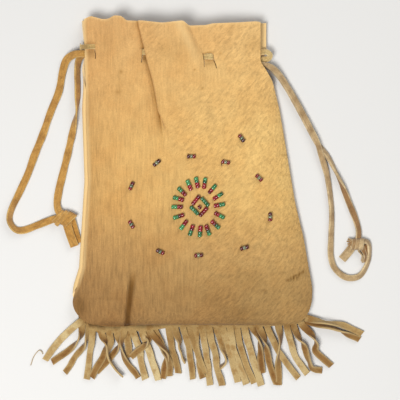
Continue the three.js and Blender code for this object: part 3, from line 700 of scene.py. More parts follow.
def back_panel():
    """The back panel as a grid. Each row goes from the welt on the left, a roll whose direction turns up
    and back over, along the flat middle with its slits, to a small upturn at the right seam."""
    rows = np.arange(BOTTOM - 0.2, NOMINAL_RIM + 0.4, ROW_STEP)[:, None]
    left, right = left_edge(rows), right_edge(rows)
    # the sides are rolled up between the flat bottom corners and the open mouth
    rolled = (1 - 0.85 * ramp_up(rows, 54, 80)) * ramp_up(rows, -56, -44)
    # the middle of the hide's thickness lies a hair clear of the table
    floor = MOUTH_LIFT * ramp_up(rows, 58, 70) + HIDE / 2 + 0.03
    # on the left the welt, which at both its ends is short, lies nearly flat and starts further in
    arc = WELT_RADIUS * WELT_TURN * (rolled + (1 - rolled) * 0.45)
    inwards = 1.2 * ramp_up(rows, 50, 68) + 0.9 * ramp_up(rows, 72, 80) - 0.9 * ramp_up(rows, 86, 96)
    start = left - 1.35 + 5 * (1 - ramp_up(rows, -60, -44)) + inwards
    part = np.linspace(0, 1, WELT_STEPS + 1)[None, :]
    welt_x, welt_z = running(math.pi - WELT_TURN * part * rolled, arc / WELT_STEPS, start, floor)
    # on the right the upturn at the seam, and at the mouth a flat margin that shows past the front
    end = right - 1.6
    margin = 0.1 + 2.5 * ramp_up(rows, 62, 76) + 3.0 * ramp_up(rows, 76, 84)
    end_arc = 1.1 * rolled + margin * (1 - rolled)
    part = np.linspace(0, 1, SEAM_STEPS + 1)[None, :]
    end_x, end_z = running(SEAM_TURN * part * rolled, end_arc / SEAM_STEPS, end, floor)
    steps = [36, 1, 6, 1, 32, 1, 7, 1, 44]
    middle = between([start, *slit_edges(*(x + 0 * rows for x in BACK_SLITS)), end], steps)[:, 1:-1]
    x = np.hstack([welt_x[:, ::-1], middle, end_x])
    z = np.hstack([welt_z[:, ::-1], floor + 0 * middle, end_z])
    # the mouth is uneven in its cut and in how it lies
    y = to_rim(rows, x)
    z = z + 0.25 * np.clip(unevenness(x, y, 24, 31), -1, 1) * ramp_up(rows, 55, 85)
    z = z + 0.5 * ramp_up(rows, 88, 97) * (unevenness(x, y, 30, 32) + 0.6)
    tops = [right_lane(place) + SLIT_ABOVE for place in BACK_SLITS]
    columns = WELT_STEPS + np.cumsum(steps)[:-1:2]
    keep = cut_slits(rows, x.shape[1] - 1,
                     [(column, top - SLIT_LENGTH, top) for column, top in zip(columns, tops)])
    # the welt and, at the mouth, the margin on the right are painted pale: a painted highlight where the lamp
    # leaves them in shade
    place = np.arange(x.shape[1])
    pale_wear_and_highlight = 0.75 * (1 - ramp_up(place, WELT_STEPS - 3, WELT_STEPS + 4)) + 0 * x
    pale_wear_and_highlight = pale_wear_and_highlight + 0.75 * ramp_up(place, x.shape[1] - 8, x.shape[1] - 5) * ramp_up(rows, 76, 82)
    return np.stack([x, y, z], -1), keep, np.stack([pale_wear_and_highlight, 0 * x, 0 * x], -1)


back = hide_panel("back_hide", back_panel(), "back_panel")

# ---- The fringe ------------------------------------------------------------------------------
# Two strips of the same hide in the bottom seam, one on the other, each cut from its lower edge
# into strands with square ends. Handling has bent and twisted them, so some show their grain side.

# Each strand: its tone, from 0 for the brown grain side to 1 for the palest, and then from its root to
# its tip the x, y and z of its middle and its twist in degrees.
BACK_STRANDS = [
    (0.35, (-66.6, -66.6, 1.9, 0), (-67.6, -74.6, 0.7, 70), (-74, -81.5, 0.6, 165), (-83.2, -88, 0.6, 180)),
    (0.55, (-62.8, -68.4, 1.9, 0), (-64.2, -76.4, 1.2, 85), (-69, -83.5, 0.6, 168), (-76.1, -93.8, 0.6, 180)),
    (0.5, (-42.2, -70, 1.8, 0), (-41.4, -77.6, 0.8, 10), (-40.3, -85.4, 0.6, 5)),
    (0.4, (-30.4, -69.3, 2.1, 0), (-30, -74.6, 1.9, 15), (-31.2, -77.4, 2.9, 100), (-34.6, -80.6, 2.9, 182),
     (-39.8, -84.9, 2.4, 184)),
    (0.45, (-26.9, -69.5, 1.9, 0), (-21.6, -80.9, 1.4, 40), (-18.6, -88.5, 0.8, 20), (-18.3, -95.7, 0.7, 0)),
    (0.5, (-18.9, -69, 1.9, 0), (-17.2, -78.7, 0.7, 0), (-13.9, -94.1, 0.6, 8)),
    (0.45, (-7.9, -67.6, 1.9, 0), (-4.6, -78.7, 0.7, 0), (-0.2, -96.8, 0.6, 6)),
    (0.6, (-4, -67.6, 1.9, 0), (-3.6, -80.3, 0.8, -30), (0.9, -94.1, 0.6, -12)),
    (0.6, (7, -68.4, 1.9, 0), (9.6, -76.5, 0.8, 15), (11.6, -83.5, 1.3, 70), (12, -88, 1.6, 100),
     (9.4, -90.8, 1.2, 120)),
    (0.65, (18.5, -68.6, 1.9, 0), (21.8, -84.2, 0.7, 0), (27.9, -99.6, 0.6, 4)),
    (0.3, (26.5, -67.9, 1.9, 0), (30.2, -73.6, 1.0, 50), (31.2, -79, 0.9, 120), (31.4, -86, 0.7, 172),
     (32.3, -94.1, 0.6, 180)),
    (0.7, (35, -67.9, 2.2, 0), (38.6, -76.5, 1.9, 0), (44.2, -86.5, 1.7, 0), (52.1, -96.8, 0.7, 0)),
    (0.4, (49.3, -66.9, 1.9, 0), (51.8, -73.5, 0.8, 40), (55.8, -80.4, 0.9, 150), (57.9, -87.6, 0.9, 120),
     (59.7, -91.4, 0.8, 150), (65.3, -92.6, 0.6, 178)),
    (0.35, (53.6, -64.2, 1.9, 0), (61.6, -66.8, 1.4, 30), (72.4, -69.4, 0.8, 70), (80, -73, 0.7, 150),
     (85.6, -75.6, 0.6, 172)),
]
FRONT_STRANDS = [
    (0.95, (-66.4, -64.6, 2.9, 0), (-71.6, -68.9, 2.0, 0), (-79, -76.2, 0.9, 0), (-87.3, -86.9, 0.6, 3)),
    (0.75, (-60.7, -70.6, 2.8, 0), (-62.1, -84.2, 0.9, 0), (-64, -97.4, 0.6, -3)),
    (0.35, (-55.7, -71.8, 2.8, 0), (-53.4, -78, 1.6, 88), (-54.6, -84, 1.4, 160), (-58.2, -90.5, 1.8, 180),
     (-61.2, -96.3, 1.7, 180)),
    (0.6, (-51.4, -71.4, 2.9, 0), (-50.6, -77, 2.4, 12), (-52.4, -83.4, 2.1, 78), (-49.4, -89.2, 1.4, 92),
     (-44.7, -95.7, 0.8, 95)),
    (0.35, (-47.2, -72, 2.8, 0), (-45.8, -77.4, 1.0, 70), (-48.4, -82.4, 0.7, 160), (-53.4, -88, 0.7, 180),
     (-59, -93.6, 0.6, 180)),
    (0.35, (-43.4, -70.8, 2.9, 0), (-44.9, -78.5, 1.5, 85), (-43.6, -84.6, 1.0, 120),
     (-39.6, -90.8, 0.7, 176), (-36.1, -96.6, 0.6, 180)),
    (0.85, (-38.7, -70.4, 2.8, 0), (-35.4, -79.8, 0.9, 0), (-31.8, -97.4, 0.6, 0)),
    (1.0, (-33.4, -71, 2.8, 0), (-29.6, -82.2, 0.9, 0), (-24.4, -97.9, 0.6, 0)),
    (0.2, (-29.2, -70.3, 2.9, 0), (-24.2, -77, 2.5, 30), (-20.2, -82.5, 2.4, 100), (-21.2, -90, 1.4, 170),
     (-22.4, -97, 0.9, 176)),
    (0.45, (-15.6, -68.6, 2.8, 0), (-13.4, -76.5, 1.6, 50), (-12.2, -82, 1.2, 86), (-10.2, -88, 0.8, 92)),
    (0.6, (-11.2, -68.4, 2.8, 0), (-8.4, -78.7, 0.9, 0), (-5.4, -97.4, 0.7, 0)),
    (0.75, (-0.7, -68.5, 2.8, 0), (2, -84.2, 0.9, 0), (3.9, -100.7, 0.6, 0)),
    (0.7, (3.1, -68.5, 2.8, 0), (5.9, -82.2, 0.9, 0), (10.3, -100.9, 0.6, 0)),
    (0.75, (10.6, -68.8, 2.8, 0), (13.9, -80.3, 0.9, 0), (19.1, -99, 0.6, 0)),
    (0.8, (14.7, -68.8, 2.9, 0), (17.2, -82, 1.2, 0), (23.7, -100.1, 0.9, 0)),
    (0.85, (22.6, -68.8, 2.8, 0), (26.5, -84.2, 1.0, 0), (31.9, -100.9, 0.7, 0)),
    (0.3, (30.6, -68.2, 2.8, 0), (33.6, -75.5, 1.4, 60), (35.2, -84, 1.1, 158), (40.2, -100.1, 0.6, 180)),
    (0.4, (41.1, -67.8, 2.8, 0), (42.2, -74, 1.4, 60), (41.6, -81, 0.7, 80), (41.1, -90, 0.6, 12),
     (41.1, -100.7, 0.6, 0)),
    (0.85, (45.6, -67.4, 2.8, 0), (48.2, -77.6, 1.2, -25), (51, -85.2, 0.8, 0), (57.2, -94.4, 0.6, 0)),
    (0.3, (53.7, -66.6, 2.8, 0), (59.6, -73, 1.2, 45), (61.7, -77.8, 1.2, 110), (61.4, -81.4, 0.8, 160),
     (65.6, -85.8, 0.6, 180), (70.6, -90, 0.6, 180)),
    (0.65, (55.2, -63.2, 2.6, 0), (65.8, -65.8, 1.8, 58), (75.5, -67.4, 1.2, 30), (82, -69.8, 0.8, 8),
     (87.3, -72.6, 0.6, 0)),
]
STRAND_WIDTH = 3.8
STRAND_THICK = 0.95
STRAND_COLUMNS = 5
STRAND_ROWS = 38
BAND_ROWS = 5             # of them in the uncut band
BAND_TONE = 0.62
SEAM_START = -61.5        # y of the band's upper edge, inside the seam


def fringe_finish(name, cut):
    """The fringe's hide: its tone goes from the grain side's brown to the pale flesh side, mottled by smoke
    and handling, with painted shade where the band goes into the seam under the hem and a painted highlight
    along the strands' edges, under the same nap as the panels."""
    finish, tree, surface = new_finish(name, 0.92, Sheen_Weight=0.2, Specular_IOR_Level=0.22)
    nap, mottling, _ = hide_patterns(tree, millimetres(tree))
    lay = node(tree, "Attribute", attribute_name="lay").outputs["Vector"]
    across, along, tone = node(tree, "SeparateXYZ", Vector=lay).outputs
    base = ramp(tree, tone, [(0.0, shade(122, 78, 32)), (0.35, shade(140, 104, 56)),
                             (0.65, shade(166, 136, 86)), (1.0, shade(200, 178, 130))])
    stained = ramp(tree, mottling, [(0.44, grey(0.0)), (0.62, grey(0.8))], True)
    base = blend_colours(tree, "MULTIPLY", stained, base, (0.68, 0.54, 0.38, 1.0))
    # painted shade: the band's first rows darker, under the front's hem
    base = shaded(tree, base, along, (0.066, 0.42), (0.092, 1.0))
    # painted highlight: paler towards each hanging strand's edges
    edge = ramp(tree, across, [(0.45, grey(0.0)), (1.0, grey(0.6))])
    base = blend_colours(tree, "MIX", edge, base, shade(190, 164, 114))
    base = shaded(tree, base, nap, (0.3, 0.78), (0.7, 1.12))
    if cut:
        base = blend_colours(tree, "MIX", 0.4, base, shade(186, 160, 112))
    tree.links.new(base, surface.inputs["Base Color"])
    raise_grain(tree, surface, (nap, 0.55, 0.0002))
    return finish


fringe_hide = fringe_finish("fringe_hide", False)
fringe_cut = fringe_finish("fringe_cut_edge", True)


def strand(stops, tone, seam_height, draw):
    """One strand as columns of points, side by side along its line and lifted where its twist sets it on
    edge. It wavers a little on its way, is pinched here and there, and its end is cut at its own
    slant. Its first rows are the band and lie level. Gives its points, its face's directions and lay."""
    root = stops[0]
    stops = [(root[0], SEAM_START, seam_height, 0), *stops]
    # its rows are in even steps down the band, and in other even steps from there to its tip
    band = np.linspace(0, SEAM_START - root[1], BAND_ROWS)
    total = distances(smooth_line(stops))[-1]
    hanging = np.linspace(band[-1], total, STRAND_ROWS - BAND_ROWS + 1)[1:]
    line = smooth_line(stops, np.concatenate([band, hanging]))
    # loose goes from 0 to 1 at the end of the band, and free over the first third of what hangs from it
    row = np.arange(STRAND_ROWS)
    loose = ramp_up(row, BAND_ROWS - 2, BAND_ROWS + 1)[:, None]
    free = ramp_up(row, BAND_ROWS, BAND_ROWS + 12)
    # one waver goes into its twist and its height, and turned about into its width and its way
    waver = unevenness(row * 1.0, 0 * row, 15, draw.integers(1000))
    twist = line[:, 3] + 10 * free * waver
    width = STRAND_WIDTH * draw.uniform(0.9, 1.04) * (1 - 0.09 * free * np.abs(waver[::-1]))
    line = line[:, :3].copy()
    line[:, 0] += 0.28 * free * waver[::-1]
    line[:, 2] += (width - STRAND_THICK) / 2 * np.abs(np.sin(np.radians(twist)))
    line[:, 2] += 0.5 * free * (1 - ramp_up(row, STRAND_ROWS - 8, STRAND_ROWS)) * (waver + 0.8).clip(0)
    wide, face = lay_of(line, twist)
    wide = -unit(wide * loose - np.array([1.0, 0, 0]) * (1 - loose))
    face = unit(face * loose + np.array([0, 0, 1.0]) * (1 - loose))
    # it is cupped a little across, one way or the other
    across = np.linspace(-1, 1, STRAND_COLUMNS)[None, :, None]
    offset = across * width[:, None, None] / 2
    cup = draw.uniform(-0.28, 0.28) * loose[:, :, None] * (across ** 2 - 0.4)
    slant = np.zeros((STRAND_ROWS, 1, 1))
    slant[-1] = draw.uniform(-0.22, 0.22)
    ahead = unit(np.gradient(line, axis=0))
    points = (line[:, None] + wide[:, None] * offset + face[:, None] * cup
              + ahead[:, None] * offset * slant)
    own = BAND_TONE + (tone - BAND_TONE) * ramp_up(row, BAND_ROWS - 1, BAND_ROWS + 6)
    lay = np.broadcast_arrays(np.abs(across[..., 0]) * free[:, None], row[:, None] / STRAND_ROWS,
                              own[:, None])
    return points, np.repeat(face[:, None], STRAND_COLUMNS, axis=1), np.stack(lay, -1)


def fringe(strands, seam_height, seed):
    """One fringe strip as a grid, its strands side by side. Only in the band are the cells kept that
    join a strand to the next. Gives its shell and which of its faces are cut edges."""
    draw = np.random.default_rng(seed)
    made = [strand(stops, tone, seam_height, draw) for tone, *stops in strands]
    grid, face, lay = (np.concatenate(part, axis=1) for part in zip(*made))
    keep = np.ones((grid.shape[0] - 1, grid.shape[1] - 1), bool)
    keep[BAND_ROWS - 1:, STRAND_COLUMNS - 1::STRAND_COLUMNS] = False
    return shell_of(grid, keep, STRAND_THICK, lay, face)


fringes = []
for name, strands, seam_height, seed in (("back", BACK_STRANDS, 2.0, 11), ("front", FRONT_STRANDS, 3.1, 12)):
    shell, cut = fringe(strands, seam_height, seed)
    fringes.append(add_piece(f"{name}_fringe", shell, [fringe_hide, fringe_cut],
                             [f"fringe_{name}"], cut_faces=cut))
    soften(fringes[-1], 0.18)

# ---- The front panel -------------------------------------------------------------------------
# The same buckskin, crowned over the empty pouch. A knife pleat folds it over itself at the mouth and
# dies out above the beadwork; slits let the laces through; an old crease runs up from the bottom.

# The pleat's fold, and the line where its right side slopes down to the panel, as (y, x).
FOLD_EDGE = [(-67, -21.5), (30, -22), (52.8, -24.4), (67.1, -27.1), (75.9, -29.9), (84.7, -31.8),
             (97.9, -35.4)]
FLAP_STEP = [(-67, 4), (45, 3), (60, 1.2), (74.3, -0.7), (80.3, -2.4), (87.2, -5.3), (95.7, -9.5)]
FOLD_STEPS = 28
FOLD_BEND = 2.7           # arc of each of the fold's two turns
FOLD_BLEND = 4            # how far up and down the corners of its line are rounded off
ROUND_BOTTOM = 13         # height over which the panel rounds up from the bottom seam


def crown(x, y):
    """Height of the middle of the front panel's hide: the seams, a round bottom and the crowned middle,
    (1 - |a| ** 3) ** 0.7 over the width, which at the mouth is less full, with a power of 1."""
    left, right = left_edge(y), right_edge(y)
    across = np.clip(np.abs((2 * x - left - right) / (right - left)), 0, 1)
    back_top = MOUTH_LIFT * ramp_up(y, 58, 70) + HIDE
    sides = 0.3 + (SEAM_STACK - 0.3) * (1 - ramp_up(y, -60, -50)) + (VENT - 0.3) * ramp_up(y, 60, 71)
    rise = np.clip((y - BOTTOM) / ROUND_BOTTOM, 0, 1)
    belly = np.sqrt(1 - (1 - rise) ** 2)
    steep = 0.7 + 0.3 * ramp_up(y, 58, 72)
    return back_top + sides + HIDE / 2 + (LOFT - sides) * belly * (1 - across ** 3) ** steep


def bowl(x, y, x0, y0, width, length):
    """e ** (-(dx / width) ** 2 - (dy / length) ** 2) about a spot: 1 there, and next to nothing twice as
    far away as its width or its length."""
    return np.exp(-((x - x0) / width) ** 2 - ((y - y0) / length) ** 2)


def crease(x, y):
    """How far the old crease presses the hide in, 0 to 1: a sharp edge on its left, and on its right a
    slope of a few millimetres back up. It runs up from the hem for some 25 millimetres."""
    bent = x - eased(y, [(-68, -43.4), (-37, -39.6), (0, -37)], 2)
    faded = 1 - ramp_up(y, -46, -35)
    return faded * ramp_up(bent, -0.7, 0.6) * (1 - ramp_up(bent, 2.5, 4.6))


def bowls(x, y, places):
    """The sum of bowls over a surface, each as x, y, its width, its length and how much it is worth."""
    return sum(worth * bowl(x, y, x0, y0, wide, long) for x0, y0, wide, long, worth in places)


def wrinkles(x, y):
    """How deep the fine wrinkles are: three on the left, four that run in from the right edge, and two
    down the left side of the pleat."""
    fold = eased(y, FOLD_EDGE, FOLD_BLEND)
    left = sum(bowl(x, y, x0 - 0.32 * (y - 47), 47, 0.55, 9) for x0 in (-56.6, -53.8, -50.6))
    right = sum(bowl(x, y, 44, y0 + 0.25 * (x - 44), 4.5, 0.7) for y0 in (25.6, 20.4, 14.8, 9.6))
    return left + right + 1.6 * bowl(x, y, fold - 2.3, 58, 0.6, 9) + 1.1 * bowl(x, y, fold - 4.6, 52, 0.6, 8)


# The soft folds that hang from the rim: x, y, width, length, and height as a share of the deepest.
RIM_FOLDS = [(-46.6, 100, 4.2, 22, 1), (-40.8, 99, 3.2, 20, -1.1), (-54, 98, 4, 16, -0.7),
             (-61, 98, 4, 14, 0.8), (-22, 98, 6, 14, -0.5), (20, 98, 8, 16, 0.5)]


def relief(x, y):
    """What stands off the crown: slack ripples all over, soft folds hanging from the rim, the crease
    with its raised left lip, the wrinkles, and a small tuck over the right window."""
    ripples = 0.34 * unevenness(x, y, 46, 3) + 0.12 * unevenness(x, y, 13, 4)
    folds = 1.3 * ramp_up(y, 58, 99) * bowls(x, y, RIM_FOLDS)
    lip = bowl(x, y, -43.2 + 0.12 * (y + 66), -60, 2, 16)
    tuck = bowl(x, y, 1.6 - 0.06 * (y - 88), 89, 0.8, 6)
    return ripples + folds - 1.1 * crease(x, y) + 0.5 * lip - 0.4 * tuck - 0.22 * wrinkles(x, y)


# The slits' lines down the front, as (y, x): the left one, the left window's, whose other slit is hidden
# under the pleat, and both of the right window. Then the lower and upper end of all five.
SLITS = ([(-67, -58.4), (98, -58.4)], [(-67, -34), (60, -33.6), (98, -33.4)],
         [(-67, 3), (60, 2.2), (72.8, 0.5), (80.3, -0.8), (98, -3.4)],
         [(-67, 9.5), (60, 8.6), (72.3, 7.0), (80.7, 5.6), (98, 3.2)])
SLIT_ENDS = ((77.6, 86.0), (75.3, 83.4), (75.5, 83.4), (72.6, 80.4), (72.2, 80.4))
# Where a lace presses the hide in under it: the slits on both sides, if any, the top of the pressed
# part, how long it is, and how deep.
LEFT_PRESSED = ((None, 0, 86.2, 3.0, 1.0), (1, None, 83.4, 4.4, 1.3))
RIGHT_PRESSED = ((2, 3, 80.5, 3.6, 1.3),)


def pressed(x, y, places):
    """How far laces press the hide in at x, y: all of a place's depth between its slits, from its top
    down to its length, and then less and less over the next 3.5 millimetres."""
    depth = 0 * x
    for left, right, top, length, deep in places:
        down = top - y
        inside = ramp_up(down, -0.5, 0.4) * (1 - ramp_up(down, length, length + 3.5))
        if left is not None:
            inside = inside * ramp_up(x - eased(y, SLITS[left], 1), -0.2, 0.2)
        if right is not None:
            inside = inside * ramp_up(eased(y, SLITS[right], 1) - x, -0.2, 0.2)
        depth = depth + deep * inside
    return depth


def flap(x, y, rise):
    """How much of the pleat's rise the hide has at x: all of it at the fold, sloping down over its right
    side to nothing."""
    step = eased(y, FLAP_STEP, 2)
    spread = 3.5 * (1 - ramp_up(y, 70, 88))
    return rise * (1 - ramp_up(x, step - 1.5 - spread, step + 1.8 + spread))


# Where the hide is painted darker: x, y, how far it spreads each way, and how dark it is. The dark lines
# along the windows' slits and the laces in them, along the wrinkles on the right and along the bottom hem are
# painted shade; the rest are dirty spots and old scars.
SOILED_AND_SHADED = [(-44.4, 70.4, 0.9, 1.2, 0.45), (-45.2, 64, 1.5, 5, 0.12), (-46.4, 59.6, 1.5, 1.1, 0.3),
          (-4.8, 71.2, 0.5, 0.6, 0.5), (-0.7, 61.2, 0.8, 0.5, 0.55), (9.2, 80.4, 0.8, 0.5, 0.5),
          (-14, 80, 9, 9, 0.12), (-22, 83, 4, 6, 0.14), (28, 86, 6, 4, 0.14), (-50, 86, 8, 5, 0.10),
          (20, -60, 11, 5, 0.22), (6, -52, 9, 6, 0.10), (24, -42, 12, 7, 0.12), (-67, -57, 4, 6, 0.4),
          (3, 76.5, 2.8, 0.5, 0.5), (2.6, 80.7, 2.5, 0.55, 0.6), (-32.6, 83.4, 1.4, 0.55, 0.55),
          (-61.6, 86.3, 3, 0.55, 0.5), (3, 74.4, 2.8, 1.8, 0.22), (-32, 79.8, 1.6, 0.5, 0.5),
          (-32, 77.6, 1.6, 1.9, 0.3), (-60.6, 81, 2.6, 2.4, 0.3), (33, -48, 1.2, 0.8, 0.3),
          (-52, -52.5, 8, 0.5, 0.22), (46, -42.6, 0.9, 0.6, 0.75), (47.3, -41.4, 0.5, 0.9, 0.8),
          (48.9, -41.4, 0.5, 1.5, 0.9), (50.2, -40.2, 0.8, 0.5, 0.85), (50.8, -41.6, 0.5, 0.9, 0.7),
          (52, -39.6, 0.5, 1.2, 0.9), (53.3, -38.7, 0.8, 0.5, 0.8), (54.4, -38, 0.5, 0.9, 0.7),
          (46, 20, 0.7, 0.5, 0.3), (43.6, 25.6, 3.2, 0.55, 0.26), (43.4, 14.8, 3.4, 0.55, 0.26),
          (-36, -26, 20, 12, 0.07), (16, -67, 40, 2, 0.2), (-50, -67, 20, 2, 0.25)]


def soil_and_shade(x, y, fold_x, strength, below):
    """How dark the hide is painted, from 0 to 1: its dirty spots with the painted shade among them, painted
    shade in the crease and in the wrinkle beside the pleat, and, on the columns that lie below the flap, a
    painted shadow of e ** (-distance / 0.8) from the fold."""
    # painted shade in the wrinkle beside the pleat and in the old crease
    dark = bowls(x, y, SOILED_AND_SHADED) + 0.22 * bowl(x, y, fold_x - 2.3, 58, 0.6, 9) + 0.72 * crease(x, y)
    dark = np.clip(dark, 0, 1)
    # painted shadow in the gap beside the fold's edge
    fold_shadow = strength * np.exp(-np.clip(fold_x - x[:, below] - 0.3, 0, None) / 0.8)
    dark[:, below] = np.clip(dark[:, below] + fold_shadow, 0, 1)
    return dark


def wear_and_highlight(rows, x, y, left):
    """How pale the hide is made, from 0 to 1: worn pale along the left seam, and a painted highlight along
    the cut rim and down the slope of the pleat's flap."""
    at_seam = 0.55 * (1 - ramp_up(x - left, 0, 2.2)) * ramp_up(rows, -56, -40)
    # painted highlight along the rim, which faces away from the lamp
    at_rim = 0.45 * ramp_up(y, rim_at(x) - 1.6, rim_at(x))
    # painted highlight down the flap's slope
    slope = 0.35 * bowl(x, 0, eased(y, FLAP_STEP, 2) - 3.2, 0, 2.6, 1) * ramp_up(y, 70, 88)
    return np.clip(at_seam + at_rim + slope, 0, 1)


# How far the bottom seam strays up or down from its row: x and y.
HEM = [(-70, 0.9), (-64, 0.3), (-52, -1.7), (-40, -1.3), (-29, 0), (0, 0.1), (12, -0.7), (26, -0.7),
       (38, 0), (52, 0.6), (58, 0.8)]
# The cells across from the left seam over each slit to the fold, and from the fold to the right seam.
LEFT_STEPS = (14, 1, 30, 1, 14, 1, 3)
RIGHT_STEPS = (32, 1, 8, 1, 56)


def front_panel():
    """The front panel as a grid. Each row goes from the left seam to the fold; there its direction turns
    a half turn back and over and, after the hidden layer, a half turn on again; then it goes on to the
    right seam. Down the bag the hidden layer and then the turns themselves fade away."""
    round_bottom = BOTTOM + ROUND_BOTTOM * (1 - np.cos(np.linspace(0, math.pi / 2, 13)[:-1]))
    rows = np.concatenate([round_bottom, np.arange(BOTTOM + ROUND_BOTTOM, NOMINAL_RIM + 0.1, ROW_STEP)])
    rows = rows[:, None]

    # the sides lie within a few tenths of a millimetre of the bag's own
    left = left_edge(rows) + 0.15 - 0.3 * ramp_up(rows, 78, 90)
    right = right_edge(rows) - 0.3

    # the fold's own columns, from where it leaves the lower layer to where it joins the flap: its
    # strength is 0 with no fold and 1 with two half turns, which are wider where they are weak
    fold_x = eased(rows, FOLD_EDGE, FOLD_BLEND)
    strength = ramp_up(rows, 28, 58)
    hidden = 5.4 * ramp_up(rows, 46, 84)
    slack = 1 - strength
    arc = 2 * FOLD_BEND + hidden + 2.5 * slack
    part = np.linspace(0, 1, FOLD_STEPS + 1)[None, :]
    bend = np.clip(np.minimum(part, 1 - part) * arc / (FOLD_BEND + 1.25 * slack), 0, 1)
    turn_x, turn_z = running(math.pi * strength * bend, arc / FOLD_STEPS, 0.0, 0.0)
    rise = turn_z[:, -1:]
    start = fold_x - turn_x.min(axis=1, keepdims=True)

    # the flat columns to both sides; the left window's second slit is part of the way to the fold
    lines = [eased(rows, stops, 1) for stops in SLITS]
    under_flap = lines[1] + (start - lines[1]) * 0.7
    left_x = between([left, *slit_edges(*lines[:2], under_flap), start], LEFT_STEPS, {0: 1.7})[:, :-1]
    right_x = between([start + turn_x[:, -1:], *slit_edges(*lines[2:]), right], RIGHT_STEPS,
                      {4: -1.4})[:, 1:]
    x = np.hstack([left_x, start + turn_x, right_x])
    y = to_rim(rows, x) + eased(x, HEM, 4) * (1 - ramp_up(rows, BOTTOM, -48))
    left_y, fold_y, right_y = np.split(y, [left_x.shape[1], left_x.shape[1] + FOLD_STEPS + 1], axis=1)
    # on the left the hide sinks by half of the pleat's rise to the layer under the fold, and the flap
    # lies as much above it
    sunk = 0.5 * rise * ramp_up(left_x, start - 13, start - 0.5)
    left_z = crown(left_x, left_y) + relief(left_x, left_y) - sunk - pressed(left_x, left_y, LEFT_PRESSED)
    fold_z = crown(start + turn_x, fold_y) - 0.5 * rise + turn_z + relief(start + 0 * turn_x, fold_y)
    right_z = (crown(right_x, right_y) + relief(right_x, right_y) + flap(right_x, right_y, 0.5 * rise)
               - pressed(right_x, right_y, RIGHT_PRESSED))

    flap_from = left_x.shape[1] + FOLD_STEPS
    columns = [*np.cumsum(LEFT_STEPS)[:-1:2], *(flap_from + np.cumsum(RIGHT_STEPS)[:-1:2])]
    keep = cut_slits(rows, x.shape[1] - 1, [(column, *ends) for column, ends in zip(columns, SLIT_ENDS)])
    # dark: dirt, with painted shade and the painted shadow beside the fold
    dark = soil_and_shade(x, y, fold_x, strength, slice(0, left_x.shape[1] + 4))
    lay = np.stack([wear_and_highlight(rows, x, y, left), 0 * x, dark], -1)
    return np.stack([x, y, np.hstack([left_z, fold_z, right_z])], -1), keep, lay


front = hide_panel("front_hide", front_panel(), "front_panel")

# ---- The laces where the bag holds them ------------------------------------------------------
# The left lace runs between the panels, out and in at each front window, round the right side and
# back. The right lace comes out by the left slit, turns round that side, and weaves the back panel.


def front_top(x, y):
    """Height of the front panel's outer face away from the pleat."""
    x, y = np.asarray(x, float), np.asarray(y, float)
    return crown(x, y) + relief(x, y) + HIDE / 2 - pressed(x, y, LEFT_PRESSED[:1] + RIGHT_PRESSED)


def on_lane(lane, stops):
    """Points for a lace inside the mouth. A stop is x with either a plain height or how far the lace's
    middle lies off the front panel's outer face there; y is the lane's."""
    points = []
    for x, height, kind in stops:
        y = float(lane(x))
        points.append((x, y, height if kind == "plain" else float(front_top(x, y)) + height))
    return points


def left_lane(x):
    """y of the left lace inside the mouth, at x."""
    return eased(x, [(-66, 80.8), (-46, 81.0), (-31, 81.2), (-20, 80.4), (3.4, 78.6), (20, 79.4),
                     (30, 81.2)], 2)


# How far off the front's outer face the middle of a lace lies, behind the panel and in a window.
INSIDE = -HIDE - 0.75
IN_WINDOW = 0.5
left_out = on_lane(left_lane, [
    (-64.6, 6.6, "plain"), (-61, 6.7, "plain"), (-52, INSIDE, "off"), (-44, INSIDE, "off"),
    (-37, INSIDE, "off"), (-34.6, INSIDE, "off"), (-33.1, -1.55, "off"), (-31.4, -1.75, "off"),
    (-29.6, -2.4, "off"), (-27, -3.4, "off"), (-22, -3.6, "off"), (-14, -3.2, "off"), (-5, INSIDE, "off"),
    (-1.6, INSIDE, "off"), (0.2, -0.3, "off"), (1.8, IN_WINDOW, "off"), (4.4, IN_WINDOW, "off"),
    (5.6, -0.3, "off"), (7.8, INSIDE, "off"), (14, INSIDE, "off"), (22, INSIDE, "off"), (27, 6.6, "plain")])
left_run = [(*point, 0) for point in left_out]
left_run += [(31, 81.5, 6.5, 8), (34.3, 81.8, 6.3, 22), (36.4, 80.2, 5.7, 30), (35.4, 78.4, 5.0, 26),
             (32, 78.0, 4.4, 10), (24, 78.4, 4.3, 0), (3, 78.6, 4.3, 0), (-28, 80.6, 4.3, 0),
             (-64.6, 80.8, 4.3, 0)]
add_piece("left_lace_in_mouth", strip(left_run, 3.3, 1.0, (1.05, 0.8), soft=0.4), [sheltered_thong],
          ["left_lace_held"])


def loop_lane(x):
    """y of the right lace between the panels and round the left side, at x."""
    return eased(x, [(-70, 84.5), (-56, 84.4), (-40, 82.6), (34, 75)], 3)


right_run = on_lane(loop_lane, [
    (32.2, 5.4, "plain"), (26, 5.2, "plain"), (16, -3.9, "off"), (0, -3.9, "off"), (-16, -3.9, "off"),
    (-32, -3.9, "off"), (-46, -3.2, "off"), (-54, INSIDE, "off"), (-57, -1.5, "off"), (-58.7, 0.1, "off"),
    (-61.5, 0.45, "off"), (-64.4, 0.4, "off"), (-66.3, 6.0, "plain"), (-66.9, 4.9, "plain"),
    (-66.2, 3.8, "plain"), (-63, 3.3, "plain"), (-48, 3.25, "plain")])
right_run += [(x, right_lane(x), z) for x, z in (
    (-36.5, 3.2), (-33.9, 2.2), (-32.6, 0.62), (-28.4, 0.62), (-27.1, 2.2), (-24.5, 3.2), (-14, 3.25),
    (-3, 3.2), (-0.3, 2.2), (1.0, 0.62), (5.7, 0.62), (7.0, 2.2), (9.6, 3.2), (20, 3.25), (32.2, 3.3))]
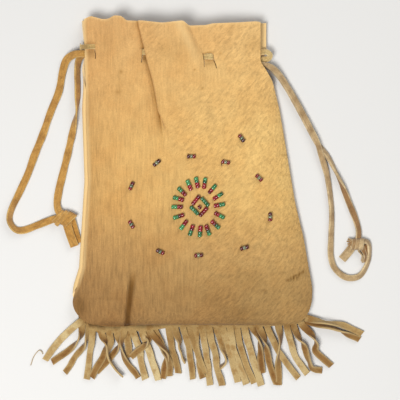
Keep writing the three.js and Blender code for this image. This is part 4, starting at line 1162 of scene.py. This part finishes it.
# the fibres torn up where the right lace turns round the side: y at the root, and how far each leans
TORN = ((83.5, -0.9), (84.0, -0.3), (84.5, 0.3), (85.0, 0.8), (85.4, 1.5), (84.8, -1.2))
torn = [strip([(-65.6, y, 6.3, 0), (-66.9, y + 0.3 * lean, 6.2, 20),
               (-67.5 + 0.3 * abs(lean), y + 0.7 * lean, 5.6, 50)], 0.45, 0.35, (0.95, 0.95))
        for y, lean in TORN]
add_piece("right_lace_in_mouth",
          joined([strip(right_run, 2.7, 0.95, (0.6, 0.6), (0, 1, 0), 0.4), *torn]),
          [sheltered_thong], ["right_lace_held"])

# ---- The beadwork ----------------------------------------------------------------------------
# Glass seed beads threaded in short strings and sewn flat on the front: a sun of sixteen rays, red
# inside and green outside, round a diamond with one bead in it, and eleven short strings about it.

BEAD_RADIUS = 1.12
BEAD_LENGTH = 1.5
BEAD_SEGMENTS = 12


def seed_beads(centres, axes, seed):
    """Ring-shaped beads, all at once: a small outline, straight at its hole and round outside, turned
    about each bead's own axis. No two have quite the same size."""
    draw = np.random.default_rng(seed)
    outline = np.array([(0.3, -0.46), (0.84, -0.5), (1.02, -0.3), (1.02, 0.3), (0.84, 0.5), (0.3, 0.46)])
    count = len(outline)
    size = draw.uniform(0.93, 1.06, (len(centres), 1, 1, 1))
    turn = 2 * math.pi * np.arange(BEAD_SEGMENTS) / BEAD_SEGMENTS
    side = unit(np.cross(axes, [0, 0, 1.0]))
    up = np.cross(side, axes)
    spoke = (side[:, None] * np.cos(turn)[:, None] + up[:, None] * np.sin(turn)[:, None])[:, :, None]
    # each is a hair shorter than its place on the string
    points = (centres[:, None, None] + spoke * outline[:, :1] * BEAD_RADIUS * size
              + axes[:, None, None] * outline[:, 1:] * BEAD_LENGTH * 0.98)
    ring = np.arange(BEAD_SEGMENTS)[:, None] * count
    after = np.roll(ring, -1, axis=0)
    k = np.arange(count)
    following = (k + 1) % count
    faces = np.stack([ring + k, ring + following, after + following, after + k], -1).reshape(-1, 4)
    faces = faces[None] + np.arange(len(centres))[:, None, None] * BEAD_SEGMENTS * count
    own = np.repeat(draw.uniform(0, 1, len(centres)), BEAD_SEGMENTS * count)
    return points.reshape(-1, 3), faces.reshape(-1, 4).tolist(), np.stack([own, own, own], -1)


def bead_finish(name, deep, light):
    """Coloured glass, glossy all over; each bead has its own depth of colour, and its colour clouds a
    little inside."""
    finish, tree, surface = new_finish(name, 0.12, Coat_Weight=0.6, Coat_Roughness=0.05)
    lay = node(tree, "Attribute", attribute_name="lay").outputs["Vector"]
    place = node(tree, "TexCoord").outputs["Object"]
    cloud = node(tree, "TexNoise", Vector=place, Scale=700.0, Detail=2.0).outputs[0]
    mixed = node(tree, "Math", operation="MULTIPLY_ADD")
    tree.links.new(cloud, mixed.inputs[0])
    mixed.inputs[1].default_value = 0.4
    tree.links.new(node(tree, "SeparateXYZ", Vector=lay).outputs[0], mixed.inputs[2])
    tree.links.new(ramp(tree, mixed.outputs[0], [(0.1, deep), (1.1, light)]), surface.inputs["Base Color"])
    return finish


def string_places(count, x, y, degrees):
    """Where the beads of a string lie: side by side along a line at an angle, resting on the hide."""
    turn = math.radians(degrees)
    away = (np.arange(count) - (count - 1) / 2) * BEAD_LENGTH
    px, py = x + away * math.cos(turn), y + away * math.sin(turn)
    height = front_top(px, py)
    axis = np.array([math.cos(turn), math.sin(turn), 0])
    if count > 1:
        on_hide = np.stack([px, py, height], 1)
        axis = unit(on_hide[-1] - on_hide[0])
    lifted = np.stack([px, py, height.mean() + axis[2] * away + BEAD_RADIUS - 0.05], 1)
    return lifted, np.repeat(axis[None], count, axis=0)


SUN = (-2.1, -2.9)
# each ray's angle in degrees and the distance of its inner end from the middle
RAYS = ((6.5, 7.8), (31, 8.6), (55, 9), (78, 10.3), (96, 10.4), (115, 10.2), (138, 9.7), (158, 9.3),
        (179, 9.1), (-156.5, 9.3), (-132, 9.8), (-109.6, 10.2), (-88.5, 10), (-70, 10.1), (-47.5, 9.7),
        (-22, 8.6))
# the diamond's corners, and the middle and the angle of each scattered string
DIAMOND = ((-2.1, 3.4), (2.9, -2.2), (-1.9, -7.6), (-6.9, -2.6))
ACCENTS = ((20.6, 34.5, -55), (-6.5, 24.6, 0), (-25.2, 21.1, 40), (12, 21.5, -10), (30.1, 13.1, -45),
           (-38.9, 8.6, 65), (36.2, -8.1, 90), (-38.9, -12.2, -60), (22.1, -24.8, 15), (-23.3, -26.9, -25),
           (-2.6, -28.8, 3))

strings = []
for degrees, start in RAYS:
    # no ray points quite at the middle
    turn = math.radians(degrees)
    middle = start + 2 * BEAD_LENGTH
    lean = degrees + 6 * math.sin(5 * turn)
    strings.append(("ray", *string_places(4, SUN[0] + middle * math.cos(turn),
                                          SUN[1] + middle * math.sin(turn), lean)))
for side, ((x0, y0), (x1, y1)) in enumerate(zip(DIAMOND, DIAMOND[1:] + DIAMOND[:1])):
    # its beads end at its far corner, and so start clear of the side before
    gap = 0.5 + (BEAD_RADIUS + 0.3) / 2 / math.hypot(x1 - x0, y1 - y0)
    strings.append((("green side", "red side")[side % 2],
                    *string_places(4, x0 + gap * (x1 - x0), y0 + gap * (y1 - y0),
                                   math.degrees(math.atan2(y1 - y0, x1 - x0)))))
strings.append(("centre", *string_places(1, *SUN, 34)))
strings += [("accent", *string_places(3, *accent)) for accent in ACCENTS]

# which beads of a string are of which glass
PATTERNS = {"red": {"ray": (0, 1), "red side": (0, 1, 2, 3)},
            "green": {"ray": (2, 3), "green side": (0, 1, 2, 3)},
            "dark": {"centre": (0,), "accent": (0, 2)},
            "pale": {"accent": (1,)}}
red_glass = bead_finish("red_glass", shade(74, 4, 12), shade(142, 12, 28))
green_glass = bead_finish("green_glass", shade(14, 58, 32), shade(62, 136, 78))
dark_glass = bead_finish("dark_red_glass", shade(44, 6, 8), shade(118, 20, 22))
pale_glass = bead_finish("pale_glass", shade(58, 76, 54), shade(118, 122, 92))
BEAD_GROUPS = (
    ("sun_red_beads", "red", red_glass, "red_glass",
     [f"sun_ray_{k + 1}_red" for k in range(len(RAYS))] + ["sun_diamond_side_2", "sun_diamond_side_4"]),
    ("sun_green_beads", "green", green_glass, "green_glass",
     [f"sun_ray_{k + 1}_green" for k in range(len(RAYS))] + ["sun_diamond_side_1", "sun_diamond_side_3"]),
    ("dark_red_beads", "dark", dark_glass, "red_glass",
     ["sun_centre_bead"] + [f"accent_{k + 1}" for k in range(len(ACCENTS))]),
    ("pale_beads", "pale", pale_glass, "green_glass", []))
for name, glass, finish, slot, replaced in BEAD_GROUPS:
    pattern = PATTERNS[glass]
    chosen = [(places[list(pattern[kind])], axes[list(pattern[kind])])
              for kind, places, axes in strings if kind in pattern]
    centres, axes = (np.vstack(part) for part in zip(*chosen))
    add_piece(name, seed_beads(centres, axes, len(name)), [finish], replaced, crisp=60)

# ---- The sewing thread -----------------------------------------------------------------------
# One dark thread through each string of beads, down into the hide at both ends, with a small knot
# where it was made off; and a loose curl of pale thread by the tip of the first fringe strand.

THREAD = 0.3              # its thickness
KNOT_EVERY = 3            # strings to each knot where a thread was made off


def thread_finish(name, deep, light):
    """Spun thread: its colour varies from fibre to fibre."""
    finish, tree, surface = new_finish(name, 0.8)
    place = node(tree, "TexCoord").outputs["Object"]
    fibre = node(tree, "TexNoise", Vector=place, Scale=5000.0, Detail=2.0).outputs[0]
    tree.links.new(ramp(tree, fibre, [(0.3, deep), (0.7, light)]), surface.inputs["Base Color"])
    return finish


dark_thread = thread_finish("dark_thread", shade(38, 22, 14), shade(86, 56, 38))
pale_thread = thread_finish("pale_thread", shade(138, 112, 72), shade(190, 166, 122))


def strand_of_thread(stops, across):
    """A length of thread through the given points, as thick as it is wide."""
    line = smooth_line(stops, spacing=0.35)
    wide, face = lay_of(line + 1e-6 * np.arange(len(line))[:, None], np.zeros(len(line)))
    return thong(line, wide, face, across, across)


stitches = []
for count, (_, places, axes) in enumerate(strings):
    axis = axes[0]
    ends = []
    for way, end in ((-1, places[0]), (1, places[-1])):
        out = end + axis * way * BEAD_LENGTH * 0.45
        hole = out + axis * way * 0.15
        hole[2] = front_top(hole[0], hole[1])
        ends.append([hole - (0, 0, 0.4), hole + (0, 0, 0.12), out])
    first, last = ends
    stitches.append(strand_of_thread([*first, *places, *last[::-1]], THREAD))
    if count % KNOT_EVERY == 0:
        # a few tight turns over the last hole
        hole = hole - axis * 0.15
        knot = [hole + (0.25 * math.cos(t), 0.25 * math.sin(t), 0.1 + 0.05 * t) for t in np.arange(0, 9, 0.6)]
        stitches.append(strand_of_thread(knot, THREAD))

# the fourth short string's thread has worked loose at its left end
loose_from = string_places(3, *ACCENTS[3])[0][0]
stitches.append(strand_of_thread([loose_from - (0.9, 0.2, 0.5), loose_from - (0.8, 1.2, 0.75),
                                  loose_from - (0.5, 2.2, 0.85)], 0.28))
add_piece("bead_thread", joined(stitches), [dark_thread], [])

# the loose curl's route, from the strand's tip
CURL = [(-88.3, -83.6, 0.5), (-88.7, -82.4, 0.7), (-90, -81.5, 0.9), (-91.6, -82.7, 0.6),
        (-92.8, -84.4, 0.35), (-93.7, -86, 0.35), (-94.4, -88.3, 0.35), (-94.9, -89.8, 0.3)]
add_piece("loose_thread_curl", strand_of_thread(CURL, 0.4), [pale_thread], [])
